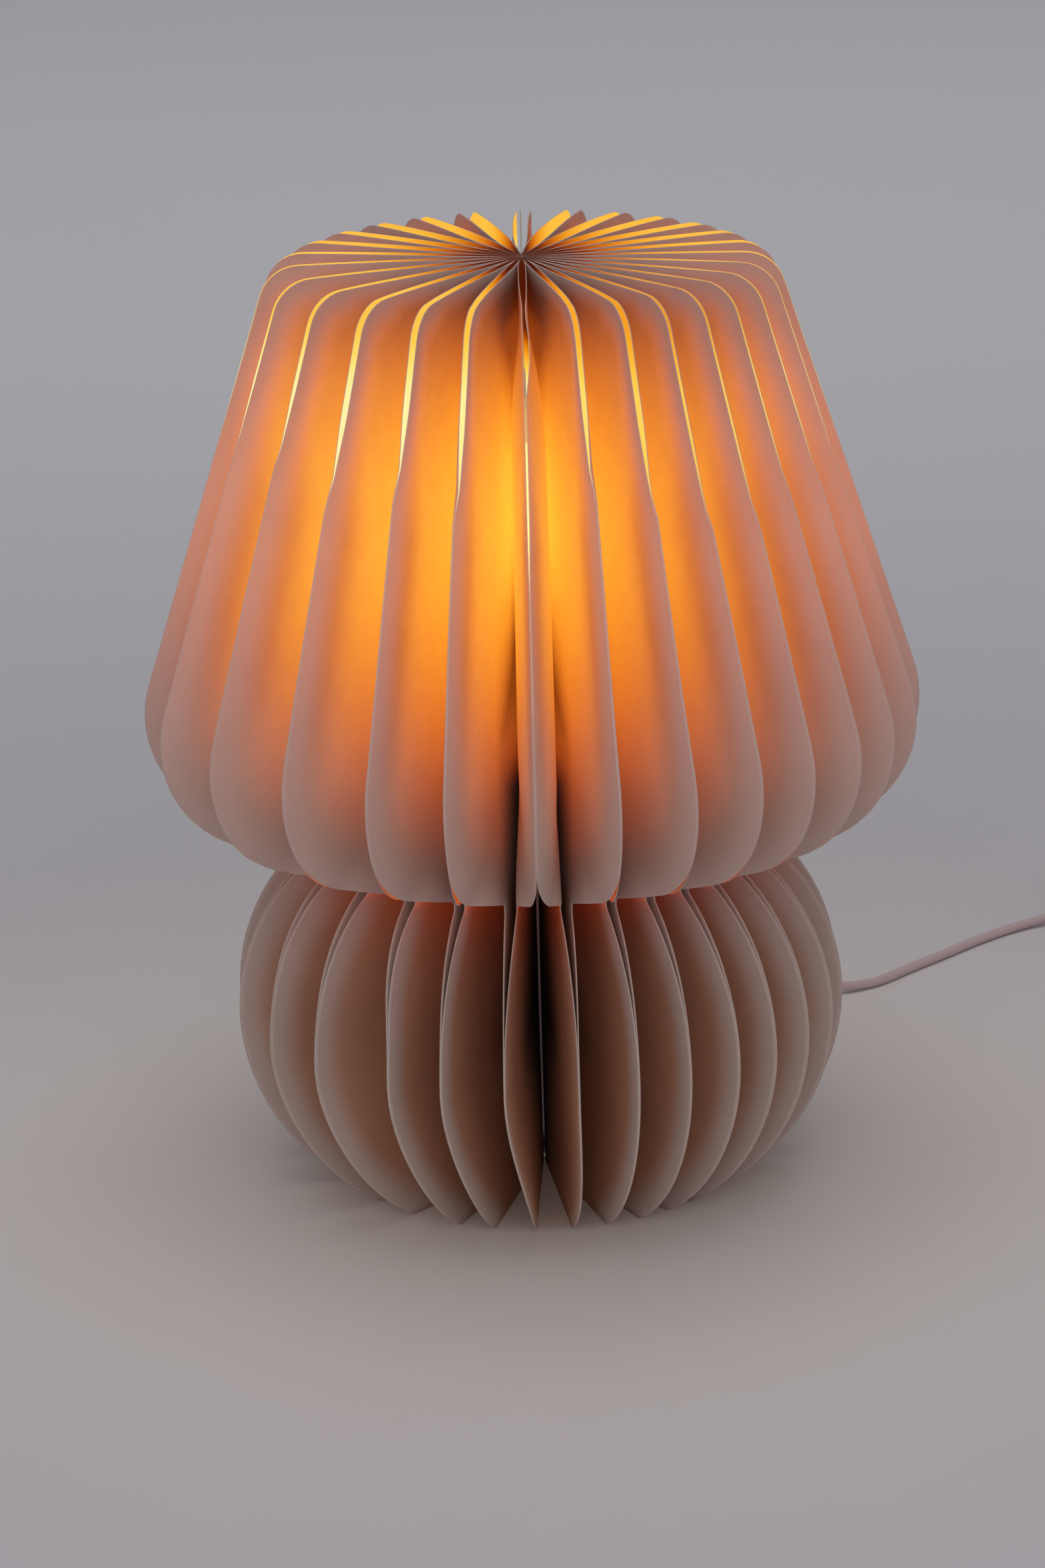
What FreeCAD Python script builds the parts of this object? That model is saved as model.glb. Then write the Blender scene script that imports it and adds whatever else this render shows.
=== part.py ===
import FreeCAD, Part

import math
import os

from FreeCAD import Placement, Rotation, Vector

# A mushroom-shaped paper table lamp that folds like a book. Leaves of card are glued in pairs along
# their rims, and each pair is creased to the next along its inner edge, round a slim light stick.
# Millimetres. The lamp stands on z = 0 with its axis on the z axis. The seam faces -y, the cord leaves at +y.

# Leaf outline: radii from the axis, heights above the table
lamp_height = 280.0
shade_radius = 115.3
shade_top_radius = 73.4
shade_top_round = 12.0
shade_bottom_round = 34.0
shade_underside = 110.7
base_radius = 91.6
base_belly_share = 0.49
foot_radius = 59.5
underside_slope = 18.0
neck_round = 2.0

# Paper
sheet = 0.25
pocket_count = 28
crowded_pockets = 7
spread_first = 20
spread_last = 26
fold_radius = 5.0
fold_gap = 0.16
glue_band = 20.3
base_turn_right = 5.0
base_turn_left = 6.4
neck_slit = 0.2
crease_strip_width = 1.5
crease_strip_height = 8.0

# Seam closure: a flexible magnetic strip inside each end leaf
strip_thickness = 0.3
strip_width = 6.0
strip_length = 40.0
strip_rise = 29.3
strip_inset = 1.0
strip_gap = 0.04

# Light chamber, cut into the inner edges of the leaves
chamber_radius = 14.0
chamber_rise = 19.3
chamber_headroom = 42.0
chamber_clearance = 2.0

# Light stick
cap_radius = 6.5
cap_length = 10.0
cap_floor = 3.0
tube_radius = 6.0
tube_wall = 1.0
seat_clearance = 0.05
boss_height = 4.0
board_width = 7.0
board_thickness = 1.2
slot_clearance = 0.1
chip_side = 2.8
chip_height = 0.7
chips_per_face = 7
chip_margin = 0.6
resistor_length = 3.2
resistor_width = 1.6
resistor_height = 0.6
resistor_rise = 3.0
wire_radius = 0.45
wire_length = 17.0

# Card that carries the stick, between the leaves of the rear pocket
card_thickness = 0.4
card_tab_start = 1.2
lug_length = 6.5
lug_thickness = 2.4
lug_height = 8.0
rivet_radius = 0.75
rivet_reach = 4.0
rivet_head_radius = 1.3
rivet_head_height = 0.4

# Strain relief under the stick
relief_flange_radius = 3.4
relief_flange_height = 4.0
relief_length = 20.0
relief_tip_radius = 2.1

# Cord, and the notch at the rear that lets it out
cord_diameter = 3.0
cord_clearance = 0.3
floor_gap = 0.05
notch_height = 4.6
notch_inner_height = 8.0
notch_inner_reach = 12.0

# Coil of the put-away length
coil_centre = (205.5, 195.0)
coil_outer_radius = 20.6
coil_pitch = 3.5
coil_turns = 9.3
coil_layers = 4
coil_layer_turns = 2.0
coil_entry_angle = 126.87
tie_thickness = 0.8
tie_width = 8.0
tie_angle = 270.0

# Rocker switch on the cord
switch_centre = (54.0, 124.4)
switch_heading = 15.0
switch_length = 40.0
switch_width = 16.0
switch_height = 10.0
switch_wall = 1.2
switch_corner = 4.0
gland_length = 8.0
gland_root_radius = 3.0
gland_tip_radius = 2.0
rocker_length = 14.0
rocker_width = 7.0
rocker_gap = 0.4
rocker_rise = 1.6
rocker_tip_inset = 0.6
rocker_tilt = 8.0
rocker_hub_radius = 1.8
pivot_radius = 0.8
pivot_clearance = 0.05
pivot_depth = 3.2
ear_thickness = 1.2
screw_inset = 6.0
screw_radius = 0.8
screw_head_radius = 1.7
screw_head_height = 1.2
screw_post_radius = 2.2
contact_width = 3.0
contact_thickness = 0.4
contact_length = 9.0
contact_spacing = 10.0

# Low-voltage plug
plug_nose = (236.0, 144.0)
plug_heading = 270.0
plug_height = 8.0
plug_width = 15.5
plug_grip_length = 20.0
plug_nose_length = 8.0
plug_nose_radius = 3.0
plug_corner = 2.5
shell_width = 12.0
shell_height = 4.5
shell_wall = 0.3
shell_length = 12.0
shell_buried = 5.0
tongue_thickness = 1.8
tongue_gap = 0.05
pin_width = 1.0
pin_thickness = 0.2
pin_length = 8.0
pin_pitch = 2.3
pin_count = 4

# Values worked out from the sizes above
pitch = 360.0 / pocket_count
rear_pocket = pocket_count // 2 + 1
cord_radius = cord_diameter / 2
cord_floor = cord_radius + floor_gap
leaf_reach = shade_radius + 1.0
glue_start = shade_radius - glue_band
strip_bottom = shade_underside + strip_rise
chamber_bottom = shade_underside + chamber_rise
chamber_top = lamp_height - chamber_headroom
stick_bottom = chamber_bottom + chamber_clearance
stick_top = chamber_top - chamber_clearance
lug_end = cap_radius + lug_length
rivet_place = cap_radius + rivet_reach
rear_leaf_start = card_thickness / 2
cover_leaf_start = strip_thickness + strip_gap / 2
relief_bottom = stick_bottom - relief_length
switch_axis = switch_height / 2
plug_axis = plug_height / 2


def save(name, *solids):
    """Write one node's solids to its file."""
    shape = solids[0] if len(solids) == 1 else Part.makeCompound(list(solids))
    shape.exportStep(f"parts/{name}.step")


def box(length, width, height, corner):
    return Part.makeBox(length, width, height, Vector(*corner))


def cylinder(radius, height, base, direction=(0, 0, 1)):
    return Part.makeCylinder(radius, height, Vector(*base), Vector(*direction))


def prism(points, height, z=0.0):
    """An upright solid over a polygon of (x, y) points."""
    corners = [Vector(x, y, z) for x, y in points]
    return Part.Face(Part.makePolygon(corners + corners[:1])).extrude(Vector(0, 0, height))


def turned(solid, angle, at=(0, 0, 0)):
    """A copy turned about z by an angle in degrees and then moved."""
    copy = solid.copy()
    copy.Placement = Placement(Vector(*at), Rotation(Vector(0, 0, 1), angle)).multiply(copy.Placement)
    return copy


# Where the pockets stand

def ramp(k, first, last):
    """Rises smoothly from 0 at pocket first to 1 at pocket last."""
    share = min(max((k - first) / (last - first), 0.0), 1.0)
    return share * share * (3.0 - 2.0 * share)


def pocket_angle(k):
    """Degrees from the seam, to the right. Pockets crowd at the front right and spread at the front left."""
    return pitch * (k - ramp(k, 0, crowded_pockets) + ramp(k, spread_first, spread_last))


def groove(k):
    """The angle between pocket k and the next one."""
    return pocket_angle(k + 1) - pocket_angle(k)


def fold_half_width(k):
    """How far groove k's crease lies from the middle plane of either pocket beside it."""
    return fold_radius * math.sin(math.radians(groove(k) / 2))


def fold_reach(k):
    return fold_radius * math.cos(math.radians(groove(k) / 2))


def closed_offset(k):
    """How far pocket k's middle lies from the rear pocket's when the lamp is folded flat."""
    between = range(min(k, rear_pocket), max(k, rear_pocket))
    return sum(2 * fold_half_width(j) for j in between)


def base_turns(k):
    """How far pocket k's base lobes are turned from its shade, in degrees. The rear pocket has two of them.

    In the base each leaf is glued to the next pocket's leaf, so the lobes there stand half a pitch on."""
    turns = []
    if k <= rear_pocket:
        turns.append(-base_turn_right)
    if k >= rear_pocket:
        turns.append(base_turn_left)
    return turns


def over_cord(k):
    """Whether pocket k's base lobes lie over the cord, open or folded flat."""
    return closed_offset(k) < cord_radius + cord_clearance


def in_pocket(solid, k, turn=0.0):
    """Move a solid from the working frame, x outwards and y across, to pocket k, or turned on from it."""
    return turned(solid, pocket_angle(k) + turn - 90.0)


# The leaf outline, drawn in the x-z plane

def at(radius, z):
    return Vector(radius, 0, z)


def line(a, b):
    return Part.LineSegment(a, b).toShape()


def arc(centre, radius, start, end):
    """An arc about a point of the x-z plane, by its angles in degrees."""
    def point(angle):
        turn = math.radians(angle)
        return centre + Vector(radius * math.cos(turn), 0, radius * math.sin(turn))

    return Part.Arc(point(start), point((start + end) / 2), point(end)).toShape()


def angle_of(vector):
    return math.degrees(math.atan2(vector.z, vector.x))


belly_height = base_belly_share * shade_underside
base_flare = base_radius - foot_radius
base_round = (base_flare ** 2 + belly_height ** 2) / (2 * base_flare)
belly_middle = at(base_radius - base_round, belly_height)
lower_corner = at(shade_radius - shade_bottom_round, shade_underside + shade_bottom_round)


def neck_centre():
    """The middle of the neck's round, which touches the base's arc and the sloping underside of the shade."""
    slope = math.radians(underside_slope)
    inwards = at(-math.cos(slope), -math.sin(slope))
    start = lower_corner + at(math.sin(slope), -math.cos(slope)) * (shade_bottom_round + neck_round)
    along = (start - belly_middle).dot(inwards)
    over = (start - belly_middle).Length ** 2 - (base_round + neck_round) ** 2
    return start + inwards * (-along - math.sqrt(along ** 2 - over))


neck_middle = neck_centre()
neck_height = neck_middle.z
base_top = neck_height - neck_slit


def leaf_outline(notched):
    """The mushroom outline as a closed wire, with the light chamber and, at the rear, the cord's notch."""
    foot_z = notch_height if notched else 0.0
    foot_angle = math.degrees(math.asin((foot_z - belly_middle.z) / base_round))
    neck_angle = angle_of(neck_middle - belly_middle)
    shoulder = at(shade_top_radius, lamp_height)
    to_corner = lower_corner - shoulder
    lean = math.degrees(math.atan2(to_corner.x, -to_corner.z))
    lean += math.degrees(math.asin(shade_bottom_round / to_corner.Length))
    top_side = (90.0 - lean) / 2
    top_cut = shade_top_round * math.tan(math.radians(top_side))
    top_round = at(shade_top_radius - top_cut, lamp_height - shade_top_round)

    base_side = arc(belly_middle, base_round, foot_angle, neck_angle)
    neck = arc(neck_middle, neck_round, neck_angle + 180.0, 90.0 + underside_slope)
    bottom_round = arc(lower_corner, shade_bottom_round, underside_slope - 90.0, lean)
    shoulder_round = arc(top_round, shade_top_round, lean, 90.0)

    def ends(edge):
        return edge.valueAt(edge.FirstParameter), edge.valueAt(edge.LastParameter)

    foot = ends(base_side)[0]
    bottom = [at(0, foot_z), foot]
    if notched:
        bottom = [at(0, notch_inner_height), at(fold_radius, notch_inner_height)]
        bottom += [at(notch_inner_reach, notch_height), foot]
    inner = [ends(shoulder_round)[1], at(0, lamp_height), at(0, chamber_top)]
    inner += [at(chamber_radius, chamber_top), at(chamber_radius, chamber_bottom), at(0, chamber_bottom)]
    inner += [bottom[0]]

    edges = [line(a, b) for a, b in zip(bottom, bottom[1:])]
    edges += [base_side, neck, line(ends(neck)[1], ends(bottom_round)[0]), bottom_round]
    edges += [line(ends(bottom_round)[1], ends(shoulder_round)[0]), shoulder_round]
    edges += [line(a, b) for a, b in zip(inner, inner[1:])]
    return Part.Wire(edges)


def outline_solid(notched):
    """The outline as a slab far thicker than a pocket, for cutting leaves to shape."""
    slab = 4.0
    face = Part.Face(leaf_outline(notched))
    face.translate(Vector(0, -slab / 2, 0))
    return face.extrude(Vector(0, slab, 0))


def above(z):
    return box(leaf_reach, 8.0, lamp_height, (0, -4.0, z))


plain_slab = outline_solid(False)
notched_slab = outline_solid(True)
shade_slab = plain_slab.common(above(neck_height))
base_slab = plain_slab.cut(above(base_top))
notched_base_slab = notched_slab.cut(above(base_top))


def leaf_strip(k, side, rim_start):
    """A full-height strip with the section of one leaf, bent at glue_start to lie rim_start from the middle plane.

    side is 1 for the leaf towards groove k and -1 for the leaf towards the groove before it."""
    crease = k if side > 0 else k - 1
    start = fold_half_width(crease) - fold_gap / 2
    inner_end = fold_reach(crease)
    section = [(inner_end, start), (glue_start, rim_start + sheet), (leaf_reach, rim_start + sheet)]
    section += [(leaf_reach, rim_start), (glue_start, rim_start), (inner_end, start - sheet)]
    return prism([(u, side * v) for u, v in section], lamp_height)


def rear_strip(side):
    """The same for a leaf of the rear pocket, flat against the card between them."""
    inner_end = fold_reach(rear_pocket)
    low = rear_leaf_start if side > 0 else -rear_leaf_start - sheet
    return box(leaf_reach - inner_end, sheet, lamp_height, (inner_end, low, 0))


def base_lobe(k):
    """A base lobe along x: two sheets glued flat on each other."""
    slab = notched_base_slab if over_cord(k) else base_slab
    return box(leaf_reach - fold_radius, 2 * sheet, lamp_height, (fold_radius, -sheet, 0)).common(slab)


def with_base(strip, k, turn):
    """A shade leaf with the base lobe that hangs on its crease."""
    inner_end = strip.BoundBox.XMin
    low = neck_height - crease_strip_height
    reach = box(crease_strip_width, 8.0, crease_strip_height + 1.0, (inner_end, -4.0, low))
    whole = strip.common(shade_slab).fuse([strip.common(reach), turned(base_lobe(k), turn)])
    return in_pocket(whole.removeSplitter().Solids[0], k)


def shade_leaf(strip, k):
    return in_pocket(strip.common(shade_slab).Solids[0], k)


def make_leaves():
    for k in range(1, pocket_count):
        pair = []
        for side in (1, -1):
            strip = rear_strip(side) if k == rear_pocket else leaf_strip(k, side, 0.0)
            turns = [turn for turn in base_turns(k) if turn * side > 0]
            pair.append(with_base(strip, k, turns[0]) if turns else shade_leaf(strip, k))
        save(f"leaf_pair_{k:02d}", *pair)
    save("cover_leaf_right", shade_leaf(leaf_strip(0, 1, cover_leaf_start), 0))
    save("cover_leaf_left", shade_leaf(leaf_strip(pocket_count, -1, cover_leaf_start), pocket_count))


def make_seam_strips():
    """Magnetic strips on the facing sides of the two end leaves."""
    low = strip_gap / 2
    place = (glue_start + strip_inset, low, strip_bottom)
    right = box(strip_width, strip_thickness, strip_length, place)
    left = right.mirror(Vector(0, 0, 0), Vector(0, 1, 0))
    save("seam_strip_right", in_pocket(right, 0))
    save("seam_strip_left", in_pocket(left, 0))


# Light stick, drawn with its lugs along x and then turned to the rear pocket

def lug_bottom(cap_bottom):
    return cap_bottom + (cap_length - lug_height) / 2


def cap(cap_bottom, opens_up):
    """An end cap that seats the tube and the board, with a slotted lug for the carrier card."""
    floor = cap_bottom if opens_up else cap_bottom + cap_length - cap_floor
    well = cap_bottom + cap_floor if opens_up else cap_bottom
    boss_z = well if opens_up else well + cap_length - cap_floor - boss_height
    body = cylinder(cap_radius, cap_length, (0, 0, cap_bottom))
    lug = box(lug_end, lug_thickness, lug_height, (0, -lug_thickness / 2, lug_bottom(cap_bottom)))
    body = body.fuse(lug).removeSplitter()
    body = body.cut(cylinder(tube_radius + seat_clearance, cap_length - cap_floor, (0, 0, well)))
    boss = cylinder(tube_radius - tube_wall - seat_clearance, boss_height, (0, 0, boss_z))
    slot_w = board_width + 2 * slot_clearance
    slot_t = board_thickness + 2 * slot_clearance
    boss = boss.cut(box(slot_t, slot_w, boss_height, (-slot_t / 2, -slot_w / 2, boss_z)))
    body = body.fuse(boss).removeSplitter()
    grip = card_thickness + 2 * seat_clearance
    reach = lug_end - cap_radius - card_tab_start + seat_clearance
    body = body.cut(box(reach, grip, cap_length, (lug_end - reach, -grip / 2, cap_bottom)))
    body = body.cut(rivet_hole(cap_bottom))
    if opens_up:
        for x in wire_places():
            hole = wire_radius + seat_clearance
            body = body.cut(cylinder(hole, cap_floor + boss_height, (x, 0, floor)))
    return body


def rivet_hole(cap_bottom):
    middle = lug_bottom(cap_bottom) + lug_height / 2
    start = (rivet_place, -lug_thickness, middle)
    return cylinder(rivet_radius + seat_clearance, 2 * lug_thickness, start, (0, 1, 0))


def rivet(cap_bottom):
    middle = lug_bottom(cap_bottom) + lug_height / 2
    half = lug_thickness / 2
    head = rivet_head_height
    shank = cylinder(rivet_radius, lug_thickness, (rivet_place, -half, middle), (0, 1, 0))
    near = cylinder(rivet_head_radius, head, (rivet_place, -half - head, middle), (0, 1, 0))
    far = cylinder(rivet_head_radius, head, (rivet_place, half, middle), (0, 1, 0))
    return shank.fuse([near, far]).removeSplitter()


def wire_places():
    """The two core wires run up either face of the board."""
    offset = board_thickness / 2 + wire_radius
    return (-offset, offset)


def on_faces(length, width, height, z):
    """A small block on either face of the board."""
    half = board_thickness / 2
    return [box(height, width, length, (x, -width / 2, z)) for x in (half, -half - height)]


def make_stick():
    upper_bottom = stick_top - cap_length
    caps = {"lower_cap": cap(stick_bottom, True), "upper_cap": cap(upper_bottom, False)}
    for name, solid in caps.items():
        save(name, in_pocket(solid, rear_pocket))
    inside_bottom = stick_bottom + cap_floor
    inside = stick_top - cap_floor - inside_bottom
    tube = cylinder(tube_radius, inside, (0, 0, inside_bottom))
    tube = tube.cut(cylinder(tube_radius - tube_wall, inside, (0, 0, inside_bottom)))
    save("diffuser_tube", in_pocket(tube, rear_pocket))
    corner = (-board_thickness / 2, -board_width / 2, inside_bottom)
    board = box(board_thickness, board_width, inside, corner)
    save("led_board", in_pocket(board, rear_pocket))
    resistor_z = upper_bottom - resistor_length - resistor_rise
    first_chip = stick_bottom + wire_length + chip_margin
    last_chip = resistor_z - chip_margin - chip_side
    chip_pitch = (last_chip - first_chip) / (chips_per_face - 1)
    chips = []
    for n in range(chips_per_face):
        chips += on_faces(chip_side, chip_side, chip_height, first_chip + n * chip_pitch)
    save("led_chips", *[in_pocket(chip, rear_pocket) for chip in chips])
    resistors = on_faces(resistor_length, resistor_width, resistor_height, resistor_z)
    save("board_resistors", *[in_pocket(r, rear_pocket) for r in resistors])
    wires = [cylinder(wire_radius, wire_length, (x, 0, stick_bottom)) for x in wire_places()]
    save("core_wires", *[in_pocket(wire, rear_pocket) for wire in wires])
    rivets = [rivet(stick_bottom), rivet(upper_bottom)]
    save("card_rivets", *[in_pocket(r, rear_pocket) for r in rivets])


def make_carrier_card():
    """The stiffening card inside the rear pocket, with a tab for each lug."""
    inner_end = fold_reach(rear_pocket)
    strip = box(leaf_reach - inner_end, card_thickness, lamp_height, (inner_end, -card_thickness / 2, 0))
    card = strip.common(shade_slab)
    for cap_bottom in (stick_bottom, stick_top - cap_length):
        tab_start = cap_radius + card_tab_start
        tab_length = chamber_radius + 1.0 - tab_start
        tab_corner = (tab_start, -card_thickness / 2, lug_bottom(cap_bottom))
        card = card.fuse(box(tab_length, card_thickness, lug_height, tab_corner))
        card = card.cut(rivet_hole(cap_bottom))
    save("carrier_card", in_pocket(card.removeSplitter().Solids[0], rear_pocket))


def make_strain_relief():
    flange_bottom = stick_bottom - relief_flange_height
    flange = cylinder(relief_flange_radius, relief_flange_height, (0, 0, flange_bottom))
    taper_length = relief_length - relief_flange_height
    taper = Part.makeCone(relief_tip_radius, relief_flange_radius, taper_length, Vector(0, 0, relief_bottom))
    save("strain_relief", flange.fuse(taper).removeSplitter())


# Cord

def heading(angle):
    return Vector(math.cos(math.radians(angle)), math.sin(math.radians(angle)), 0)


def on_table(x, y, z=cord_floor):
    return Vector(x, y, z)


def swept(path, start, direction):
    """A round cord along a wire."""
    ring = Part.Wire(Part.Circle(start, direction, cord_radius).toShape())
    return path.makePipeShell([ring], True, False)


def cord_tube(name, points):
    """A cord of straight runs joined by arcs as large as the runs allow. Prints its radii and length."""
    share = 0.45
    runs = [b - a for a, b in zip(points, points[1:])]
    edges = []
    radii = []
    last = points[0]
    for corner, before, after in zip(points[1:], runs, runs[1:]):
        half = before.getAngle(after) / 2
        cut = share * min(before.Length, after.Length)
        radii.append(cut / math.tan(half))
        into = corner - before * (cut / before.Length)
        out = corner + after * (cut / after.Length)
        centre = (into + out) / 2
        bow = (corner - centre).normalize() * (radii[-1] * (1 - math.cos(half)))
        edges += [line(last, into), Part.Arc(into, centre + bow, out).toShape()]
        last = out
    edges.append(line(last, points[-1]))
    path = Part.Wire(edges)
    tube = swept(path, points[0], runs[0])
    ratio = tube.Volume / (math.pi * cord_radius ** 2 * path.Length)
    print(name, "radii", [round(r, 1) for r in radii], "length", round(path.Length, 1), "fill", round(ratio, 4))
    save(name, tube)


def gland_mouth(side):
    """Where the cord meets the switch's gland: side is -1 towards the lamp and 1 towards the plug."""
    reach = side * (switch_length / 2 + gland_length)
    return Vector(*switch_centre, switch_axis) + heading(switch_heading) * reach


def route_to_switch():
    """Down the lamp's axis, out through the notch at the rear and up to the switch."""
    mouth = gland_mouth(-1)
    lead_in = 12.0
    return [
        Vector(0, 0, relief_bottom),
        Vector(0, 0, 90),
        Vector(0.6, -0.5, 62),
        Vector(-0.4, -0.8, 36),
        Vector(0, -0.2, 22),
        Vector(0, 0, 9.4),
        on_table(0, 7.8),
        on_table(0.2, 19),
        on_table(0.4, 40),
        on_table(0.3, 66),
        on_table(1.2, 86),
        on_table(5.5, 103.5, 2.4),
        mouth - heading(switch_heading) * lead_in,
        mouth,
    ]


def route_to_coil():
    """From the switch along the table to the coil."""
    mouth = gland_mouth(1)
    lead_out = 8.0
    start, direction = coil_start()
    return [
        mouth,
        mouth + heading(switch_heading) * lead_out,
        on_table(99, 134.5, 2.3),
        on_table(112, 140.5),
        on_table(123, 153),
        on_table(136, 166),
        on_table(150, 181),
        on_table(164, 193),
        start - direction * 16.5,
        start,
    ]


def route_to_plug():
    """Off the top of the coil and down to the plug."""
    end, direction = coil_end()
    nose = Vector(*plug_nose, plug_axis)
    return [
        end,
        end + direction * 12.0,
        Vector(235.2, 174, 8.6),
        nose - heading(plug_heading) * 13.0,
        nose,
    ]


# Coil: flat spirals on top of each other, in and out, wound clockwise

def coil_floor():
    return tie_thickness + floor_gap + cord_clearance + cord_radius


def coil_reversals():
    """The turns at which the spiral changes between inwards and outwards and climbs a layer."""
    return [coil_layer_turns + 0.25 + n * (coil_layer_turns + 0.5) for n in range(coil_layers - 1)]


def coil_inner_radius():
    return coil_outer_radius - coil_pitch * coil_reversals()[0]


def coil_point(turn):
    """A point of the coil's middle line, by the turns wound so far."""
    marks = [0.0] + coil_reversals() + [coil_turns]
    travel = 0.0
    for n, (begin, end) in enumerate(zip(marks, marks[1:])):
        wound = min(max(turn - begin, 0.0), end - begin)
        travel += wound if n % 2 else -wound
    rise = sum(ramp(turn, mark - 0.25, mark + 0.25) for mark in coil_reversals())
    radius = coil_outer_radius + coil_pitch * travel
    outwards = heading(coil_entry_angle - 360.0 * turn)
    return Vector(*coil_centre, coil_floor() + coil_pitch * rise) + outwards * radius


def coil_stations():
    """Points along the coil about a quarter turn apart, with their directions."""
    step = 0.02
    spans = math.ceil(coil_turns * 4)
    turns = [coil_turns * n / spans for n in range(spans + 1)]
    points = [coil_point(turn) for turn in turns]
    directions = [(coil_point(turn + step) - coil_point(turn - step)).normalize() for turn in turns]
    # The cord comes in and goes out along the circle, not along the spiral
    directions[0] = heading(coil_entry_angle - 90.0)
    directions[-1] = heading(coil_entry_angle - 360.0 * coil_turns - 90.0)
    return list(zip(points, directions))


def coil_start():
    point, direction = coil_stations()[0]
    return point - direction * cord_diameter, direction


def coil_end():
    point, direction = coil_stations()[-1]
    return point + direction * cord_diameter, direction


def biarc(p, t, q, s):
    """Two arcs from p along t to q along s, meeting smoothly in the middle."""
    v = q - p
    both = t + s
    a = 2 * (1 - t.dot(s))
    b = 2 * v.dot(both)
    reach = v.dot(v) / b if abs(a) < 1e-9 else (-b + math.sqrt(b * b + 4 * a * v.dot(v))) / (2 * a)
    first = p + t * reach
    second = q - s * reach
    middle = (first + second) / 2
    return [tangent_arc(p, t, middle), tangent_arc(middle, (second - first).normalize(), q)]


def tangent_arc(p, t, q):
    """The arc that leaves p along t and ends at q."""
    chord = q - p
    side = chord - t * chord.dot(t)
    half_turn = math.atan2(side.Length, chord.dot(t))
    bow = t * side.Length - side.normalize() * chord.dot(t)
    middle = (p + q) / 2 + bow.normalize() * (chord.Length / 2 * math.tan(half_turn / 2))
    return Part.Arc(p, middle, q).toShape()


def least_gap(path):
    """The least clear distance between turns, measured on points along the coil."""
    points = path.discretize(Distance=1.5)
    step = path.Length / (len(points) - 1)
    skip = math.ceil(math.pi * cord_diameter * 2 / step)
    near = min((a - b).Length for n, a in enumerate(points) for b in points[n + skip:])
    return near - cord_diameter


def make_coil():
    stations = coil_stations()
    start, direction = coil_start()
    end, _ = coil_end()
    edges = [line(start, stations[0][0])]
    for (p, t), (q, s) in zip(stations, stations[1:]):
        edges += biarc(p, t, q, s)
    edges.append(line(stations[-1][0], end))
    path = Part.Wire(edges)
    coil = swept(path, start, direction)
    ratio = coil.Volume / (math.pi * cord_radius ** 2 * path.Length)
    gap = least_gap(path)
    print("cord_coil length", round(path.Length, 1), "fill", round(ratio, 4), "least gap", round(gap, 2))
    save("cord_coil", coil)


def make_tie():
    """A strap round the coil's section."""
    half = tie_width / 2
    skin = cord_radius + cord_clearance
    near = math.sqrt(coil_inner_radius() ** 2 - half ** 2) - skin
    far = coil_outer_radius + coil_pitch / 4 + skin
    low = coil_floor() - skin
    high = coil_floor() + coil_pitch * (coil_layers - 1) + skin
    wall = tie_thickness
    outside = box(far - near + 2 * wall, tie_width, high - low + 2 * wall, (near - wall, -half, low - wall))
    upright = [e for e in outside.Edges if abs(e.tangentAt(e.FirstParameter).y) > 0.5]
    outside = outside.makeFillet(2 * wall, upright)
    inside = box(far - near, tie_width, high - low, (near, -half, low))
    upright = [e for e in inside.Edges if abs(e.tangentAt(e.FirstParameter).y) > 0.5]
    inside = inside.makeFillet(wall, upright)
    save("cord_tie", turned(outside.cut(inside), tie_angle, (*coil_centre, 0)))


# Rocker switch, drawn about its own centre with the cord along x

def in_switch(solid):
    return turned(solid, switch_heading, (*switch_centre, 0))


def rounded_slab(length, width, z, height, corner):
    """A slab centred on the z axis with rounded upright edges."""
    slab = box(length, width, height, (-length / 2, -width / 2, z))
    upright = [e for e in slab.Edges if abs(e.tangentAt(e.FirstParameter).z) > 0.5]
    return slab.makeFillet(corner, upright)


def screw_spots():
    return [side * (switch_length / 2 - screw_inset) for side in (-1, 1)]


def make_switch_case():
    half = switch_height / 2
    room_length = switch_length - 2 * switch_wall
    room_width = switch_width - 2 * switch_wall
    room_corner = switch_corner - switch_wall
    base = rounded_slab(switch_length, switch_width, 0, half, switch_corner)
    base = base.cut(rounded_slab(room_length, room_width, switch_wall, half - switch_wall, room_corner))
    cover = rounded_slab(switch_length, switch_width, half, half, switch_corner)
    cover = cover.cut(rounded_slab(room_length, room_width, half, half - switch_wall, room_corner))
    window_length = rocker_length + 2 * rocker_gap
    window_width = rocker_width + 2 * rocker_gap
    window = box(window_length, window_width, half, (-window_length / 2, -window_width / 2, half + 1.0))
    cover = cover.cut(window)
    shank = screw_radius + seat_clearance
    for x in screw_spots():
        base = base.fuse(cylinder(screw_post_radius, half, (x, 0, 0)))
        cover = cover.fuse(cylinder(screw_post_radius, half, (x, 0, half)))
        base = base.cut(cylinder(shank, half, (x, 0, 0)))
        sink = screw_head_radius + seat_clearance
        base = base.cut(cylinder(sink, screw_head_height + floor_gap, (x, 0, 0)))
        cover = cover.cut(cylinder(shank, half - switch_wall, (x, 0, half)))
    for side in (-1, 1):
        ear_start = side * (window_width / 2) if side > 0 else -window_width / 2 - ear_thickness
        ear_width = 2 * pivot_depth
        ear = box(ear_width, ear_thickness, half - switch_wall, (-ear_width / 2, ear_start, half))
        cover = cover.fuse(ear)
    bore = pivot_radius + pivot_clearance
    reach = window_width + 2 * ear_thickness
    cover = cover.removeSplitter().cut(cylinder(bore, reach, (0, -reach / 2, pivot_height()), (0, 1, 0)))
    save("switch_base", in_switch(base.removeSplitter().Solids[0]))
    save("switch_cover", in_switch(cover.Solids[0]))


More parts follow.
